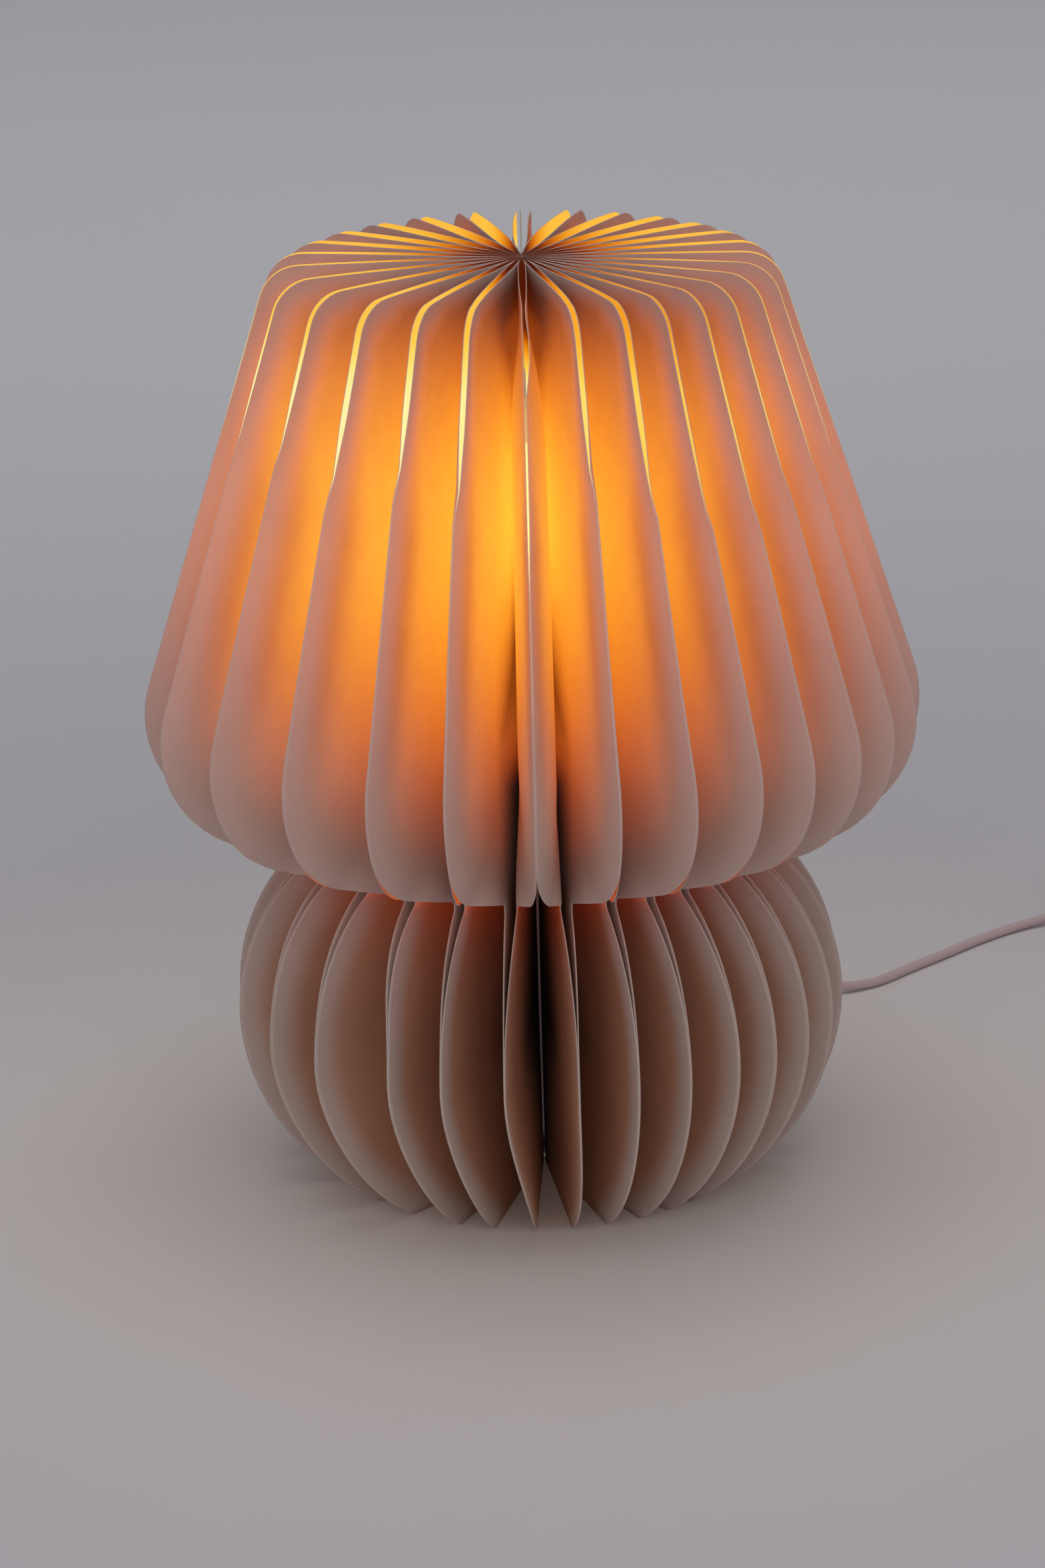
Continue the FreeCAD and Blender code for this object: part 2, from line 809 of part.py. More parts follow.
def pivot_height():
    return switch_height - pivot_depth


def make_rocker():
    """A two-paddle rocker on a pin, tilted to its on side."""
    half = rocker_length / 2
    lift = rocker_rise * 2
    tip = half - rocker_tip_inset
    top = [(-tip, lift), (0, rocker_rise), (tip, lift)]
    skirt = [(half, 0.6), (rocker_hub_radius, -0.4), (-rocker_hub_radius, -0.4), (-half, 0.6)]
    corners = [Vector(x, -rocker_width / 2, pivot_height() + z) for x, z in top + skirt]
    paddle = Part.Face(Part.makePolygon(corners + corners[:1])).extrude(Vector(0, rocker_width, 0))
    hub_start = (0, -rocker_width / 2, pivot_height())
    hub = cylinder(rocker_hub_radius, rocker_width, hub_start, (0, 1, 0))
    bore = cylinder(pivot_radius + pivot_clearance, rocker_width, hub_start, (0, 1, 0))
    rocker = paddle.fuse(hub).removeSplitter().cut(bore).Solids[0]
    rocker.rotate(Vector(0, 0, pivot_height()), Vector(0, 1, 0), rocker_tilt)
    save("switch_rocker", in_switch(rocker))
    pin_span = rocker_width + 2 * rocker_gap + 2 * ear_thickness
    pin = cylinder(pivot_radius, pin_span, (0, -pin_span / 2, pivot_height()), (0, 1, 0))
    save("switch_pivot", in_switch(pin))


def make_switch_fittings():
    screws = []
    for x in screw_spots():
        head = cylinder(screw_head_radius, screw_head_height, (x, 0, floor_gap))
        shank_length = switch_height - switch_wall - screw_head_height - 2 * floor_gap
        shank = cylinder(screw_radius, shank_length, (x, 0, floor_gap + screw_head_height))
        screws.append(in_switch(head.fuse(shank).removeSplitter()))
    save("switch_screws", *screws)
    contacts = []
    for x in (-contact_spacing / 2, contact_spacing / 2):
        for y in (-contact_width, contact_width):
            corner = (x - contact_length / 4, y - contact_width / 4, switch_wall)
            leg = box(contact_length / 2, contact_width / 2, contact_thickness, corner)
            contacts.append(in_switch(leg))
    save("switch_contacts", *contacts)
    glands = []
    for side in (-1, 1):
        start = Vector(side * switch_length / 2, 0, switch_axis)
        cone = Part.makeCone(gland_root_radius, gland_tip_radius, gland_length, start, Vector(side, 0, 0))
        glands.append(in_switch(cone))
    save("switch_glands", *glands)


# Plug, drawn with the cord coming in along x at the nose

def in_plug(solid):
    return turned(solid, plug_heading, (*plug_nose, 0))


def make_plug():
    nose = Part.makeCone(cord_radius + shell_wall, plug_nose_radius, plug_nose_length, Vector(0, 0, plug_axis),
                         Vector(1, 0, 0))
    grip_corner = (plug_nose_length, -plug_width / 2, 0)
    grip = box(plug_grip_length, plug_width, plug_height, grip_corner)
    long_edges = [e for e in grip.Edges if abs(e.tangentAt(e.FirstParameter).x) > 0.5]
    grip = grip.makeFillet(plug_corner, long_edges).fuse(nose).removeSplitter()
    mouth = plug_nose_length + plug_grip_length
    shell_start = mouth - shell_buried
    full = shell_buried + shell_length
    outer_corner = (shell_start, -shell_width / 2, plug_axis - shell_height / 2)
    shell = box(full, shell_width, shell_height, outer_corner)
    grip = grip.cut(shell)
    room_width = shell_width - 2 * shell_wall
    room_height = shell_height - 2 * shell_wall
    room_floor = plug_axis - room_height / 2
    shell = shell.cut(box(full, room_width, room_height, (shell_start, -room_width / 2, room_floor)))
    tongue_width = room_width - 2 * tongue_gap
    tongue_floor = room_floor + room_height - tongue_gap - tongue_thickness
    tongue = box(full, tongue_width, tongue_thickness, (shell_start, -tongue_width / 2, tongue_floor))
    pins = []
    for n in range(pin_count):
        y = (n - (pin_count - 1) / 2) * pin_pitch - pin_width / 2
        corner = (mouth + shell_length - pin_length - 1.0, y, tongue_floor - pin_thickness)
        pins.append(box(pin_length, pin_width, pin_thickness, corner))
    save("plug_grip", in_plug(grip.Solids[0]))
    save("plug_shell", in_plug(shell))
    save("plug_tongue", in_plug(tongue))
    save("plug_contacts", *[in_plug(pin) for pin in pins])


os.makedirs("parts", exist_ok=True)
make_leaves()
make_seam_strips()
make_carrier_card()
make_stick()
make_strain_relief()
cord_tube("cord_to_switch", route_to_switch())
cord_tube("cord_to_coil", route_to_coil())
make_coil()
cord_tube("cord_to_plug", route_to_plug())
make_tie()
make_switch_case()
make_rocker()
make_switch_fittings()
make_plug()
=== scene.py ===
import math

import bmesh
import bpy
from mathutils import Matrix, Vector


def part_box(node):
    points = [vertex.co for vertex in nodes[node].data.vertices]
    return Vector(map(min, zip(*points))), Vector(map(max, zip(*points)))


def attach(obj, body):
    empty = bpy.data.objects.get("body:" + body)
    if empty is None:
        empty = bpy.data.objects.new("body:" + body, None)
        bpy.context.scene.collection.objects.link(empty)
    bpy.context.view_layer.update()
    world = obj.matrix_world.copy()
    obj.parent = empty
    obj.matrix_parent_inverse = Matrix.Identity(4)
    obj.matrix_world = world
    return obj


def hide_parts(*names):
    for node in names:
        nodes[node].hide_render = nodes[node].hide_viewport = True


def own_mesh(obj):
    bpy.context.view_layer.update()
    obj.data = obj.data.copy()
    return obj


# A lit paper lamp in the shape of a mushroom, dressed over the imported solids. Sizes of the lamp and of its
# cord are in millimetres and become metres where points are made. The floor, the lights, the tie and the
# materials are in metres.
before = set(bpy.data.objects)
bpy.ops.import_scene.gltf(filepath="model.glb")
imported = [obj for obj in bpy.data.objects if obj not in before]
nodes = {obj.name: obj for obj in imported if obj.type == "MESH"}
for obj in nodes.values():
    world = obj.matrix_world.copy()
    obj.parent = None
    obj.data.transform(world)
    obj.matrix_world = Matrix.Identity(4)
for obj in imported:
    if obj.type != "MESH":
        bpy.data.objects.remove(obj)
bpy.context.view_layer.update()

MM = 0.001

# Outline of a leaf, as in the solids
lamp_height = 280.0
shade_radius = 115.3
shade_top_radius = 73.4
shade_top_round = 12.0
shade_bottom_round = 34.0
shade_underside = 110.7
base_radius = 91.6
belly_height = 0.49 * shade_underside
foot_radius = 59.5
underside_slope = 18.0
neck_round = 2.0

# Pockets
pocket_count = 28
pitch = 360.0 / pocket_count
rear_pocket = 15
crowded_pockets = 7
spread_first = 20
spread_last = 26
base_turn_right = 5.0
base_turn_left = 6.4
sheet = 0.25
glued = 0.13

# How the paper bows: neighbouring sheets lie on each other out from the hub, then part and run to their rims
flap_reach = 45.0
flap_run = 45.0
flap_bend = 2.6
flap_hug = 0.97
bow_wave = 31.0
crown_start = 238.0
crown_end = 272.0
crown_reach_front = 10.0
crown_reach_back = 24.0
mouth_reach = 62.0
mouth_run = 22.0
mouth_bottom = 111.0
mouth_top = 128.0
mouth_opening = 1.6
mouth_curve = 2.2
mouth_from = 108.0
mouth_until = 140.0
bow_from = 114.0
bow_until = 138.0
rim_kink = 231.0
kink_shift = 1.1
kink_run = 4.0
kink_fade = 10.0
opening_run = 24.0
top_gap = 1.0
top_gap_crowded = 0.4
top_gap_back = 2.1
rear_glued = 0.33
cover_gap = 0.14
slit_closes = 64.0
slit_curve = 1.5
notch_height = 4.6
notch_inner_height = 8.0
notch_inner_reach = 12.0
notch_lift_ends = 20.0
cover_inset = 5.0
# One leaf at the back left takes almost none of the painted glow, so it shows grey.
unlit_pocket = 18
unlit_spread = 0.05
lobe_lean = {23: 3.5, 24: 1.9, 25: 3.7, 26: 0.9}

# Inner edges of the leaves
hub_radius = 1.6
fold_radius = 5.0
chamber_radius = 14.0
chamber_bottom = 126.0
chamber_top = 242.0
chamber_slant = 4.0

# Cord
cord_diameter = 3.0
cord_floor = 1.55


def ramp(value, first, last):
    """Rises smoothly from 0 at first to 1 at last."""
    share = min(max((value - first) / (last - first), 0.0), 1.0)
    return share * share * (3.0 - 2.0 * share)


def mixed(a, b, share):
    return a + (b - a) * share


def wander(index, salt):
    """A number from -1 to 1 that looks random but is the same on every run."""
    value = math.sin(index * 12.9898 + salt * 78.233) * 43758.5453
    return 2.0 * (value - math.floor(value)) - 1.0


def pocket_angle(k):
    """Degrees from the seam, to the right."""
    return pitch * (k - ramp(k, 0, crowded_pockets) + ramp(k, spread_first, spread_last))


def groove(k):
    """The angle between pocket k and the next one."""
    return pocket_angle(k + 1) - pocket_angle(k)


# Camera

camera_place = (0.0, -1481.2, 598.5)
camera_pitch = 0.31289
camera_yaw = -0.00243
camera_roll = -0.02563
photo_height = 2352
focal_pixels = 7802.3


def make_camera():
    data = bpy.data.cameras.new("photo_camera")
    data.sensor_fit = "VERTICAL"
    data.sensor_height = 36.0
    data.sensor_width = 24.0
    data.lens = focal_pixels / photo_height * data.sensor_height
    data.clip_start = 0.05
    data.clip_end = 60.0
    right = Vector((math.cos(camera_yaw), -math.sin(camera_yaw), 0))
    level = Vector((math.sin(camera_yaw), math.cos(camera_yaw), 0))
    up = level * math.sin(camera_pitch) + Vector((0, 0, math.cos(camera_pitch)))
    back = Vector((0, 0, math.sin(camera_pitch))) - level * math.cos(camera_pitch)
    x_axis = right * math.cos(camera_roll) + up * math.sin(camera_roll)
    y_axis = up * math.cos(camera_roll) - right * math.sin(camera_roll)
    turn = Matrix((x_axis, y_axis, back)).transposed().to_4x4()
    camera = bpy.data.objects.new("photo_camera", data)
    camera.matrix_world = Matrix.Translation(Vector(camera_place) * MM) @ turn
    bpy.context.scene.collection.objects.link(camera)
    bpy.context.scene.camera = camera


# Shader helpers

class Shader:
    """Short ways to add nodes to one node tree."""

    def __init__(self, tree):
        self.tree = tree

    def add(self, kind, **settings):
        node = self.tree.nodes.new(kind)
        for name, value in settings.items():
            setattr(node, name, value)
        return node

    def put(self, socket, value):
        if isinstance(value, bpy.types.NodeSocket):
            self.tree.links.new(value, socket)
        else:
            socket.default_value = value

    def math(self, operation, *values):
        node = self.add("ShaderNodeMath", operation=operation)
        for socket, value in zip(node.inputs, values):
            self.put(socket, value)
        return node.outputs[0]

    def times(self, first, *others):
        for other in others:
            first = self.math("MULTIPLY", first, other)
        return first

    def weighted(self, a, share_a, b, share_b):
        return self.math("ADD", self.times(a, share_a), self.times(b, share_b))

    def range(self, value, low, high, to_low=0.0, to_high=1.0, kind="SMOOTHSTEP"):
        node = self.add("ShaderNodeMapRange", interpolation_type=kind)
        for socket, given in zip(node.inputs, (value, low, high, to_low, to_high)):
            self.put(socket, given)
        return node.outputs["Result"]

    def mix(self, share, a, b):
        node = self.add("ShaderNodeMix", data_type="RGBA")
        self.put(node.inputs["Factor"], share)
        self.put(node.inputs["A"], a)
        self.put(node.inputs["B"], b)
        return node.outputs["Result"]

    def noise(self, scale, detail=3.0, rough=0.5, stretch=(1, 1, 1), distortion=0.0):
        """Noise in the piece's own coordinates, with so many features to a metre."""
        coords = self.add("ShaderNodeTexCoord").outputs["Object"]
        if tuple(stretch) != (1, 1, 1):
            scaled = self.add("ShaderNodeVectorMath", operation="MULTIPLY")
            self.put(scaled.inputs[0], coords)
            scaled.inputs[1].default_value = stretch
            coords = scaled.outputs[0]
        node = self.add("ShaderNodeTexNoise")
        self.put(node.inputs["Vector"], coords)
        node.inputs["Scale"].default_value = scale
        node.inputs["Detail"].default_value = detail
        node.inputs["Roughness"].default_value = rough
        node.inputs["Distortion"].default_value = distortion
        return node.outputs["Fac"]

    def bump(self, height, strength, distance):
        node = self.add("ShaderNodeBump")
        node.inputs["Strength"].default_value = strength
        node.inputs["Distance"].default_value = distance
        self.put(node.inputs["Height"], height)
        return node.outputs["Normal"]


def places(shader):
    """The x, y and z of a point of the piece."""
    parts = shader.add("ShaderNodeSeparateXYZ")
    shader.put(parts.inputs[0], shader.add("ShaderNodeTexCoord").outputs["Object"])
    return parts.outputs


def from_axis(shader, x, y):
    """How far a point is from the lamp's upright axis."""
    return shader.math("SQRT", shader.math("ADD", shader.times(x, x), shader.times(y, y)))


def colour(red, green, blue):
    return (red, green, blue, 1.0)


def new_material(name):
    material = bpy.data.materials.new(name)
    material.use_nodes = True
    tree = material.node_tree
    tree.nodes.clear()
    shader = Shader(tree)
    surface = shader.add("ShaderNodeBsdfPrincipled")
    output = shader.add("ShaderNodeOutputMaterial")
    tree.links.new(surface.outputs[0], output.inputs["Surface"])
    return material, shader, surface


def new_group(name, inputs, outputs):
    """A shader node group with the given sockets, as (name, kind) pairs."""
    tree = bpy.data.node_groups.new(name, "ShaderNodeTree")
    for label, kind in inputs:
        tree.interface.new_socket(label, in_out="INPUT", socket_type=kind)
    for label, kind in outputs:
        tree.interface.new_socket(label, in_out="OUTPUT", socket_type=kind)
    shader = Shader(tree)
    return tree, shader, shader.add("NodeGroupInput"), shader.add("NodeGroupOutput")


def new_grain(name):
    """An empty group for a grain, which puts out a height and a tint share."""
    outputs = [("Height", "NodeSocketFloat"), ("Tint", "NodeSocketFloat")]
    tree, shader, given, result = new_group(name, [], outputs)
    return tree, shader, result


def finish_piece(name, mesh, materials):
    """Turns a bmesh into an object of that name, with those materials."""
    data = bpy.data.meshes.new(name)
    mesh.to_mesh(data)
    mesh.free()
    for material in materials:
        data.materials.append(material)
    piece = bpy.data.objects.new(name, data)
    bpy.context.scene.collection.objects.link(piece)
    return piece


# Cords

def heading(angle):
    turn = math.radians(angle)
    return Vector((math.cos(turn), math.sin(turn), 0))


def on_table(x, y, z=cord_floor):
    return Vector((x, y, z))


switch_centre = Vector((54.0, 124.4, 5.0))
switch_heading = heading(15.0)
gland_reach = 28.0
coil_centre = (205.5, 195.0)
coil_outer_radius = 20.6
coil_pitch = 3.5
coil_turns = 9.3
coil_reversals = (2.25, 4.75, 7.25)
coil_climb = 0.5
coil_entry_angle = 126.87
coil_floor = 2.65
coil_points_a_turn = 18
plug_nose = Vector((236.0, 144.0, 4.0))
plug_heading = heading(270.0)


def coil_point(turn):
    """A point of the coil's middle line, by the turns wound so far.

    The cord lies in flat spirals, in and out, layer on layer."""
    marks = (0.0,) + coil_reversals + (coil_turns,)
    travel = 0.0
    for n, (begin, end) in enumerate(zip(marks, marks[1:])):
        wound = min(max(turn - begin, 0.0), end - begin)
        travel += wound if n % 2 else -wound
    rise = sum(ramp(turn, mark - coil_climb / 2, mark + coil_climb / 2) for mark in coil_reversals)
    outwards = heading(coil_entry_angle - 360.0 * turn)
    middle = Vector((*coil_centre, coil_floor + coil_pitch * rise))
    return middle + outwards * (coil_outer_radius + coil_pitch * travel)


def route_to_switch():
    mouth = switch_centre - switch_heading * gland_reach
    return [
        Vector((0, 0, 112)),
        Vector((0, 0, 90)),
        Vector((0.6, -0.5, 62)),
        Vector((-0.4, -0.8, 36)),
        Vector((0, -0.2, 22)),
        Vector((0, 0, 9.4)),
        on_table(0, 7.8),
        on_table(0.2, 19),
        on_table(0.4, 40),
        on_table(0.3, 66),
        on_table(1.2, 86),
        on_table(5.5, 103.5, 2.4),
        mouth - switch_heading * 12.0,
        mouth,
    ]


def route_to_plug():
    """From the switch along the table, round the coil and on to the plug."""
    mouth = switch_centre + switch_heading * gland_reach
    into_coil = heading(coil_entry_angle - 90.0)
    out_of_coil = heading(coil_entry_angle - 360.0 * coil_turns - 90.0)
    start = coil_point(0.0) - into_coil * cord_diameter
    end = coil_point(coil_turns) + out_of_coil * cord_diameter
    steps = round(coil_turns * coil_points_a_turn)
    points = [
        mouth,
        mouth + switch_heading * 8.0,
        on_table(99, 134.5, 2.3),
        on_table(112, 140.5),
        on_table(123, 153),
        on_table(136, 166),
        on_table(150, 181),
        on_table(164, 193),
        start - into_coil * 16.5,
        start,
    ]
    points += [coil_point(coil_turns * n / steps) for n in range(steps + 1)]
    points += [
        end,
        end + out_of_coil * 12.0,
        Vector((235.2, 174, 8.6)),
        plug_nose - plug_heading * 13.0,
        plug_nose,
    ]
    return points


def make_cord(name, points, material, replaced):
    data = bpy.data.curves.new(name, "CURVE")
    data.dimensions = "3D"
    data.bevel_depth = cord_diameter / 2 * MM
    data.bevel_resolution = 5
    data.resolution_u = 8
    data.use_fill_caps = True
    spline = data.splines.new("NURBS")
    spline.points.add(len(points) - 1)
    for place, point in zip(spline.points, points):
        place.co = (*(point * MM), 1.0)
    spline.order_u = 3
    spline.use_endpoint_u = True
    cord = bpy.data.objects.new(name, data)
    bpy.context.scene.collection.objects.link(cord)
    data.materials.append(material)
    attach(cord, "rear_pocket")
    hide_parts(*replaced)
    return cord


def cord_material():
    """Soft pink jacket: a faint grain along the run and a little dust."""
    material, shader, surface = new_material("cord_jacket")
    grain = shader.noise(900, 4.0, 0.6)
    cloud = shader.noise(45, 2.0)
    tone = shader.mix(cloud, colour(0.58, 0.43, 0.45), colour(0.64, 0.49, 0.51))
    dusty = shader.mix(shader.range(grain, 0.55, 0.8, 0.0, 0.35), tone, colour(0.68, 0.55, 0.56))
    shader.put(surface.inputs["Base Color"], dusty)
    shader.put(surface.inputs["Roughness"], shader.range(grain, 0.2, 0.8, 0.42, 0.62))
    shader.put(surface.inputs["Normal"], shader.bump(grain, 0.25, 0.0002))
    return material


def make_cords(tie):
    jacket = cord_material()
    switch = ["switch_base", "switch_cover", "switch_rocker", "switch_pivot", "switch_contacts"]
    switch += ["switch_screws", "switch_glands"]
    first = route_to_switch()
    second = route_to_plug()
    lamp_cord = make_cord("lamp_cord", first, jacket, ["cord_to_switch"])
    lead = make_cord("plug_lead", second, jacket, ["cord_to_coil", "cord_coil", "cord_to_plug"])


# Floor and light

def floor_material():
    """Pale and matt, with painted lamp light round the lamp, warmer and paler there, and brighter far off,
    where only the camera sees it.
    """
    painted_glow_inside = 0.06
    painted_glow_ends = 0.34
    far_begins = 0.3
    far_ends = 2.2
    lift_ends = 1.2
    lift = 0.075
    material, shader, surface = new_material("studio_floor")
    cloud = shader.noise(1.6, 2.0)
    fine = shader.noise(60, 3.0)
    x, y, z = places(shader)
    # Painted lamp light: a paler, warmer floor round the lamp stands in for its glow and lifts its shadow
    # there.
    warm = shader.mix(cloud, colour(0.80, 0.76, 0.74), colour(0.84, 0.80, 0.78))
    near = shader.mix(cloud, colour(0.63, 0.61, 0.655), colour(0.66, 0.64, 0.685))
    far = shader.mix(cloud, colour(0.88, 0.88, 0.94), colour(0.92, 0.92, 0.98))
    tone = shader.mix(shader.range(from_axis(shader, x, y), painted_glow_inside, painted_glow_ends), warm, near)
    tone = shader.mix(shader.range(y, far_begins, far_ends), tone, far)
    shader.put(surface.inputs["Base Color"], tone)
    shader.put(surface.inputs["Roughness"], shader.range(fine, 0.3, 0.7, 0.42, 0.5))
    surface.inputs["Specular IOR Level"].default_value = 0.35
    surface.inputs["Emission Color"].default_value = colour(0.96, 0.96, 1.0)
    path = shader.add("ShaderNodeLightPath")
    seen = path.outputs["Is Camera Ray"]
    for kind in ("Is Glossy Ray", "Is Transmission Ray"):
        seen = shader.math("MAXIMUM", seen, path.outputs[kind])
    lifted = shader.range(y, 0.0, lift_ends, 0.0, lift)
    shader.put(surface.inputs["Emission Strength"], shader.times(seen, lifted))
    return material


def make_floor():
    """A table that turns up into a wall, too far off to hide the lamp from a camera behind it."""
    half_width = 9.0
    front = -8.0
    wall = 8.0
    wall_height = 6.0
    bend = 2.0
    mesh = bmesh.new()
    profile = ((front, 0.0), (wall, 0.0), (wall, wall_height))
    line = [mesh.verts.new((-half_width, y, z)) for y, z in profile]
    edges = [mesh.edges.new(ends) for ends in zip(line, line[1:])]
    pulled = bmesh.ops.extrude_edge_only(mesh, edges=edges)["geom"]
    right_side = [part for part in pulled if isinstance(part, bmesh.types.BMVert)]
    bmesh.ops.translate(mesh, verts=right_side, vec=(2 * half_width, 0, 0))
    corner = [edge for edge in mesh.edges if len(edge.link_faces) == 2]
    bmesh.ops.bevel(mesh, geom=corner, offset=bend, offset_type="OFFSET", segments=16, profile=0.5,
                    affect="EDGES", material=-1)
    for face in mesh.faces:
        face.smooth = True
    floor = finish_piece("studio_floor", mesh, [floor_material()])


def area_light(name, place, target, size, power, tint):
    data = bpy.data.lights.new(name, "AREA")
    data.shape = "RECTANGLE"
    data.size = size[0]
    data.size_y = size[1]
    data.energy = power
    data.color = tint
    light = bpy.data.objects.new(name, data)
    light.location = place
    light.rotation_euler = (Vector(target) - Vector(place)).to_track_quat("-Z", "Y").to_euler()
    bpy.context.scene.collection.objects.link(light)


def make_lights():
    world = bpy.data.worlds.new("studio")
    world.use_nodes = True
    background = world.node_tree.nodes["Background"]
    background.inputs["Color"].default_value = colour(0.97, 0.98, 1.0)
    background.inputs["Strength"].default_value = 0.15
    bpy.context.scene.world = world
    centre = (0, 0, 0.15)
    area_light("soft_left", (-1.7, -1.4, 0.7), centre, (1.4, 1.2), 2.4, (0.99, 0.99, 1.0))
    area_light("soft_right", (1.7, -1.4, 0.7), centre, (1.4, 1.2), 2.4, (1.0, 0.99, 0.98))
    area_light("soft_top", (0, 0.2, 2.4), centre, (2.2, 2.2), 19, (1.0, 1.0, 1.0))
    area_light("soft_front", (0, -2.2, 1.3), (0, 0, 0.05), (2.6, 1.2), 12, (1.0, 0.99, 0.98))
    bpy.context.scene.view_settings.view_transform = "Standard"


# Paper leaves

def leaf_rows():
    """Heights and rim radii of the leaf's rows: the base's, from the foot to the neck, and the shade's.

    The last value is the row of the shade from which the rim is glued."""
    flare = base_radius - foot_radius
    base_round = (flare ** 2 + belly_height ** 2) / (2 * flare)
    belly = Vector((base_radius - base_round, belly_height))
    corner = Vector((shade_radius - shade_bottom_round, shade_underside + shade_bottom_round))
    slope = math.radians(underside_slope)
    inwards = Vector((-math.cos(slope), -math.sin(slope)))
    below = Vector((math.sin(slope), -math.cos(slope)))
    start = corner + below * (shade_bottom_round + neck_round)
    along = (start - belly).dot(inwards)
    over = (start - belly).length_squared - (base_round + neck_round) ** 2
    neck = start + inwards * (-along - math.sqrt(along ** 2 - over))

    def arc(middle, radius, first, last, steps):
        turns = [mixed(first, last, n / steps) for n in range(steps + 1)]
        return [middle + Vector((math.cos(turn), math.sin(turn))) * radius for turn in turns]

    foot_turn = math.asin(-belly_height / base_round)
    neck_turn = math.atan2(neck.y - belly.y, neck.x - belly.x)
    base = arc(belly, base_round, foot_turn, neck_turn, steps=26)
    base += arc(neck, neck_round, neck_turn + math.pi, math.pi, steps=3)[1:]

    across = corner.x - shade_top_radius
    down = lamp_height - corner.y
    lean = math.atan2(across, down) + math.asin(shade_bottom_round / math.hypot(across, down))
    top_cut = shade_top_round * math.tan((math.pi / 2 - lean) / 2)
    top = Vector((shade_top_radius - top_cut, lamp_height - shade_top_round))
    fillet = arc(neck, neck_round, math.pi, math.pi / 2 + slope, steps=4)
    corner_arc = arc(corner, shade_bottom_round, slope - math.pi / 2, lean, steps=16)
    top_arc = arc(top, shade_top_round, lean, math.pi / 2, steps=7)

    def straight(first, last, steps):
        return [first.lerp(last, n / steps) for n in range(1, steps)]

    underside = fillet + straight(fillet[-1], corner_arc[0], steps=10)
    shade = underside + corner_arc + straight(corner_arc[-1], top_arc[0], steps=24) + top_arc
    return [(p.y, p.x) for p in base], [(p.y, p.x) for p in shade], len(underside)


base_rows, shade_rows, mouth_row = leaf_rows()
neck_height, neck_radius = base_rows[-1]


def inner_edge(z):
    """Radius of a leaf's inner edge, which leaves a chamber for the light stick."""
    low = mixed(fold_radius, chamber_radius, ramp(z, chamber_bottom - chamber_slant, chamber_bottom))
    high = mixed(chamber_radius, hub_radius, ramp(z, chamber_top, chamber_top + chamber_slant))
    return low if z < (chamber_bottom + chamber_top) / 2 else high


def distance_to(runs, u, z):
    """The shortest way from a point to a line of short runs."""
    least = 1e9
    for (u0, z0), (u1, z1) in runs:
        du, dz = u1 - u0, z1 - z0
        length = du * du + dz * dz
        share = 0.0
        if length > 0:
            share = min(max(((u - u0) * du + (z - z0) * dz) / length, 0.0), 1.0)
        least = min(least, math.hypot(u - u0 - share * du, z - z0 - share * dz))
    return least


def leaf_grid():
    """Rows of points over the base and over the shade.

    Each point is a radius, a height, how far it is from the glued rim and how far from any outer edge."""
    inner_columns = 22
    crowding = 1.35
    rim_width = 10.0
    top_fade = 1.5
    top_start = 2.0
    belly_of_shade = shade_underside + shade_bottom_round
    outer_shares = (0.14, 0.28, 0.41, 0.53, 0.63, 0.72, 0.80, 0.865, 0.915, 0.955, 0.982, 1.0)
    inner_shares = [1 - (1 - n / inner_columns) ** crowding for n in range(inner_columns + 1)]
    base_rim = [(r, z) for z, r in base_rows]
    shade_rim = [(r, z) for z, r in shade_rows]
    base_runs = list(zip(base_rim, base_rim[1:]))
    glued_rim = shade_rim[mouth_row:]
    shade_runs = list(zip(glued_rim, glued_rim[1:]))
    edge_runs = list(zip(shade_rim, shade_rim[1:]))
    base = []
    for z, rim in base_rows[:-1]:
        radii = [mixed(inner_edge(z), rim, share) for share in inner_shares]
        base.append([(u, z, 0.0, distance_to(base_runs, u, z)) for u in radii])
    shade = []
    for z, rim in shade_rows:
        middle = neck_radius if z < belly_of_shade else min(neck_radius, rim - rim_width)
        radii = [mixed(inner_edge(z), middle, share) for share in inner_shares]
        if shade:
            radii += [mixed(middle, rim, share) for share in outer_shares]
        from_top = top_fade * (lamp_height - z) + top_start
        from_edge = [min(distance_to(edge_runs, u, z), from_top) for u in radii]
        shade.append([(u, z, distance_to(shade_runs, u, z), d) for u, d in zip(radii, from_edge)])
    return base, [shade[0]], shade


base_grid, neck_grid, shade_grid = leaf_grid()


def lobe_angle(k):
    """The angle of the base lobe between pocket k and the next one."""
    if k < rear_pocket:
        return pocket_angle(k + 1) - base_turn_right
    return pocket_angle(k) + base_turn_left


def from_seam(angle):
    """The same angle as -180 to 180."""
    return angle - 360.0 if angle > 180.0 else angle


def lobe_drift(k, z):
    """Degrees by which lobe k leans out of its plane: at the belly, and at the feet, most near the seam."""
    angle = from_seam(lobe_angle(k))
    left_of_seam = 1.0 - ramp(angle, -8, 16)
    far_left = ramp(-angle, 30, 60)
    far_right = ramp(angle, 25, 45)
    in_front = 1.0 - ramp(abs(angle), 80, 140)
    foot = (4.0 * left_of_seam + 2.0 * far_left - 1.4 * far_right) * in_front
    belly = lobe_lean.get(k, 0.0) + 0.5 * wander(k, 5)
    return belly * (1.0 - ramp(z, 60, 106)) + foot * (1.0 - ramp(z, 0, belly_height))


def shade_drift(k):
    """Degrees by which the pockets left of the seam bow towards it."""
    return 1.3 * ramp(k, 22.5, 24) * (1.0 - ramp(k, 26, 27))


def kink_height(k):
    """Where a pocket's rim is no longer glued: lower on the right."""
    on_the_right = ramp(k, 1, 3) * (1.0 - ramp(k, 8, 14))
    return rim_kink - 10.0 * on_the_right + 4.0 * wander(k, 1)


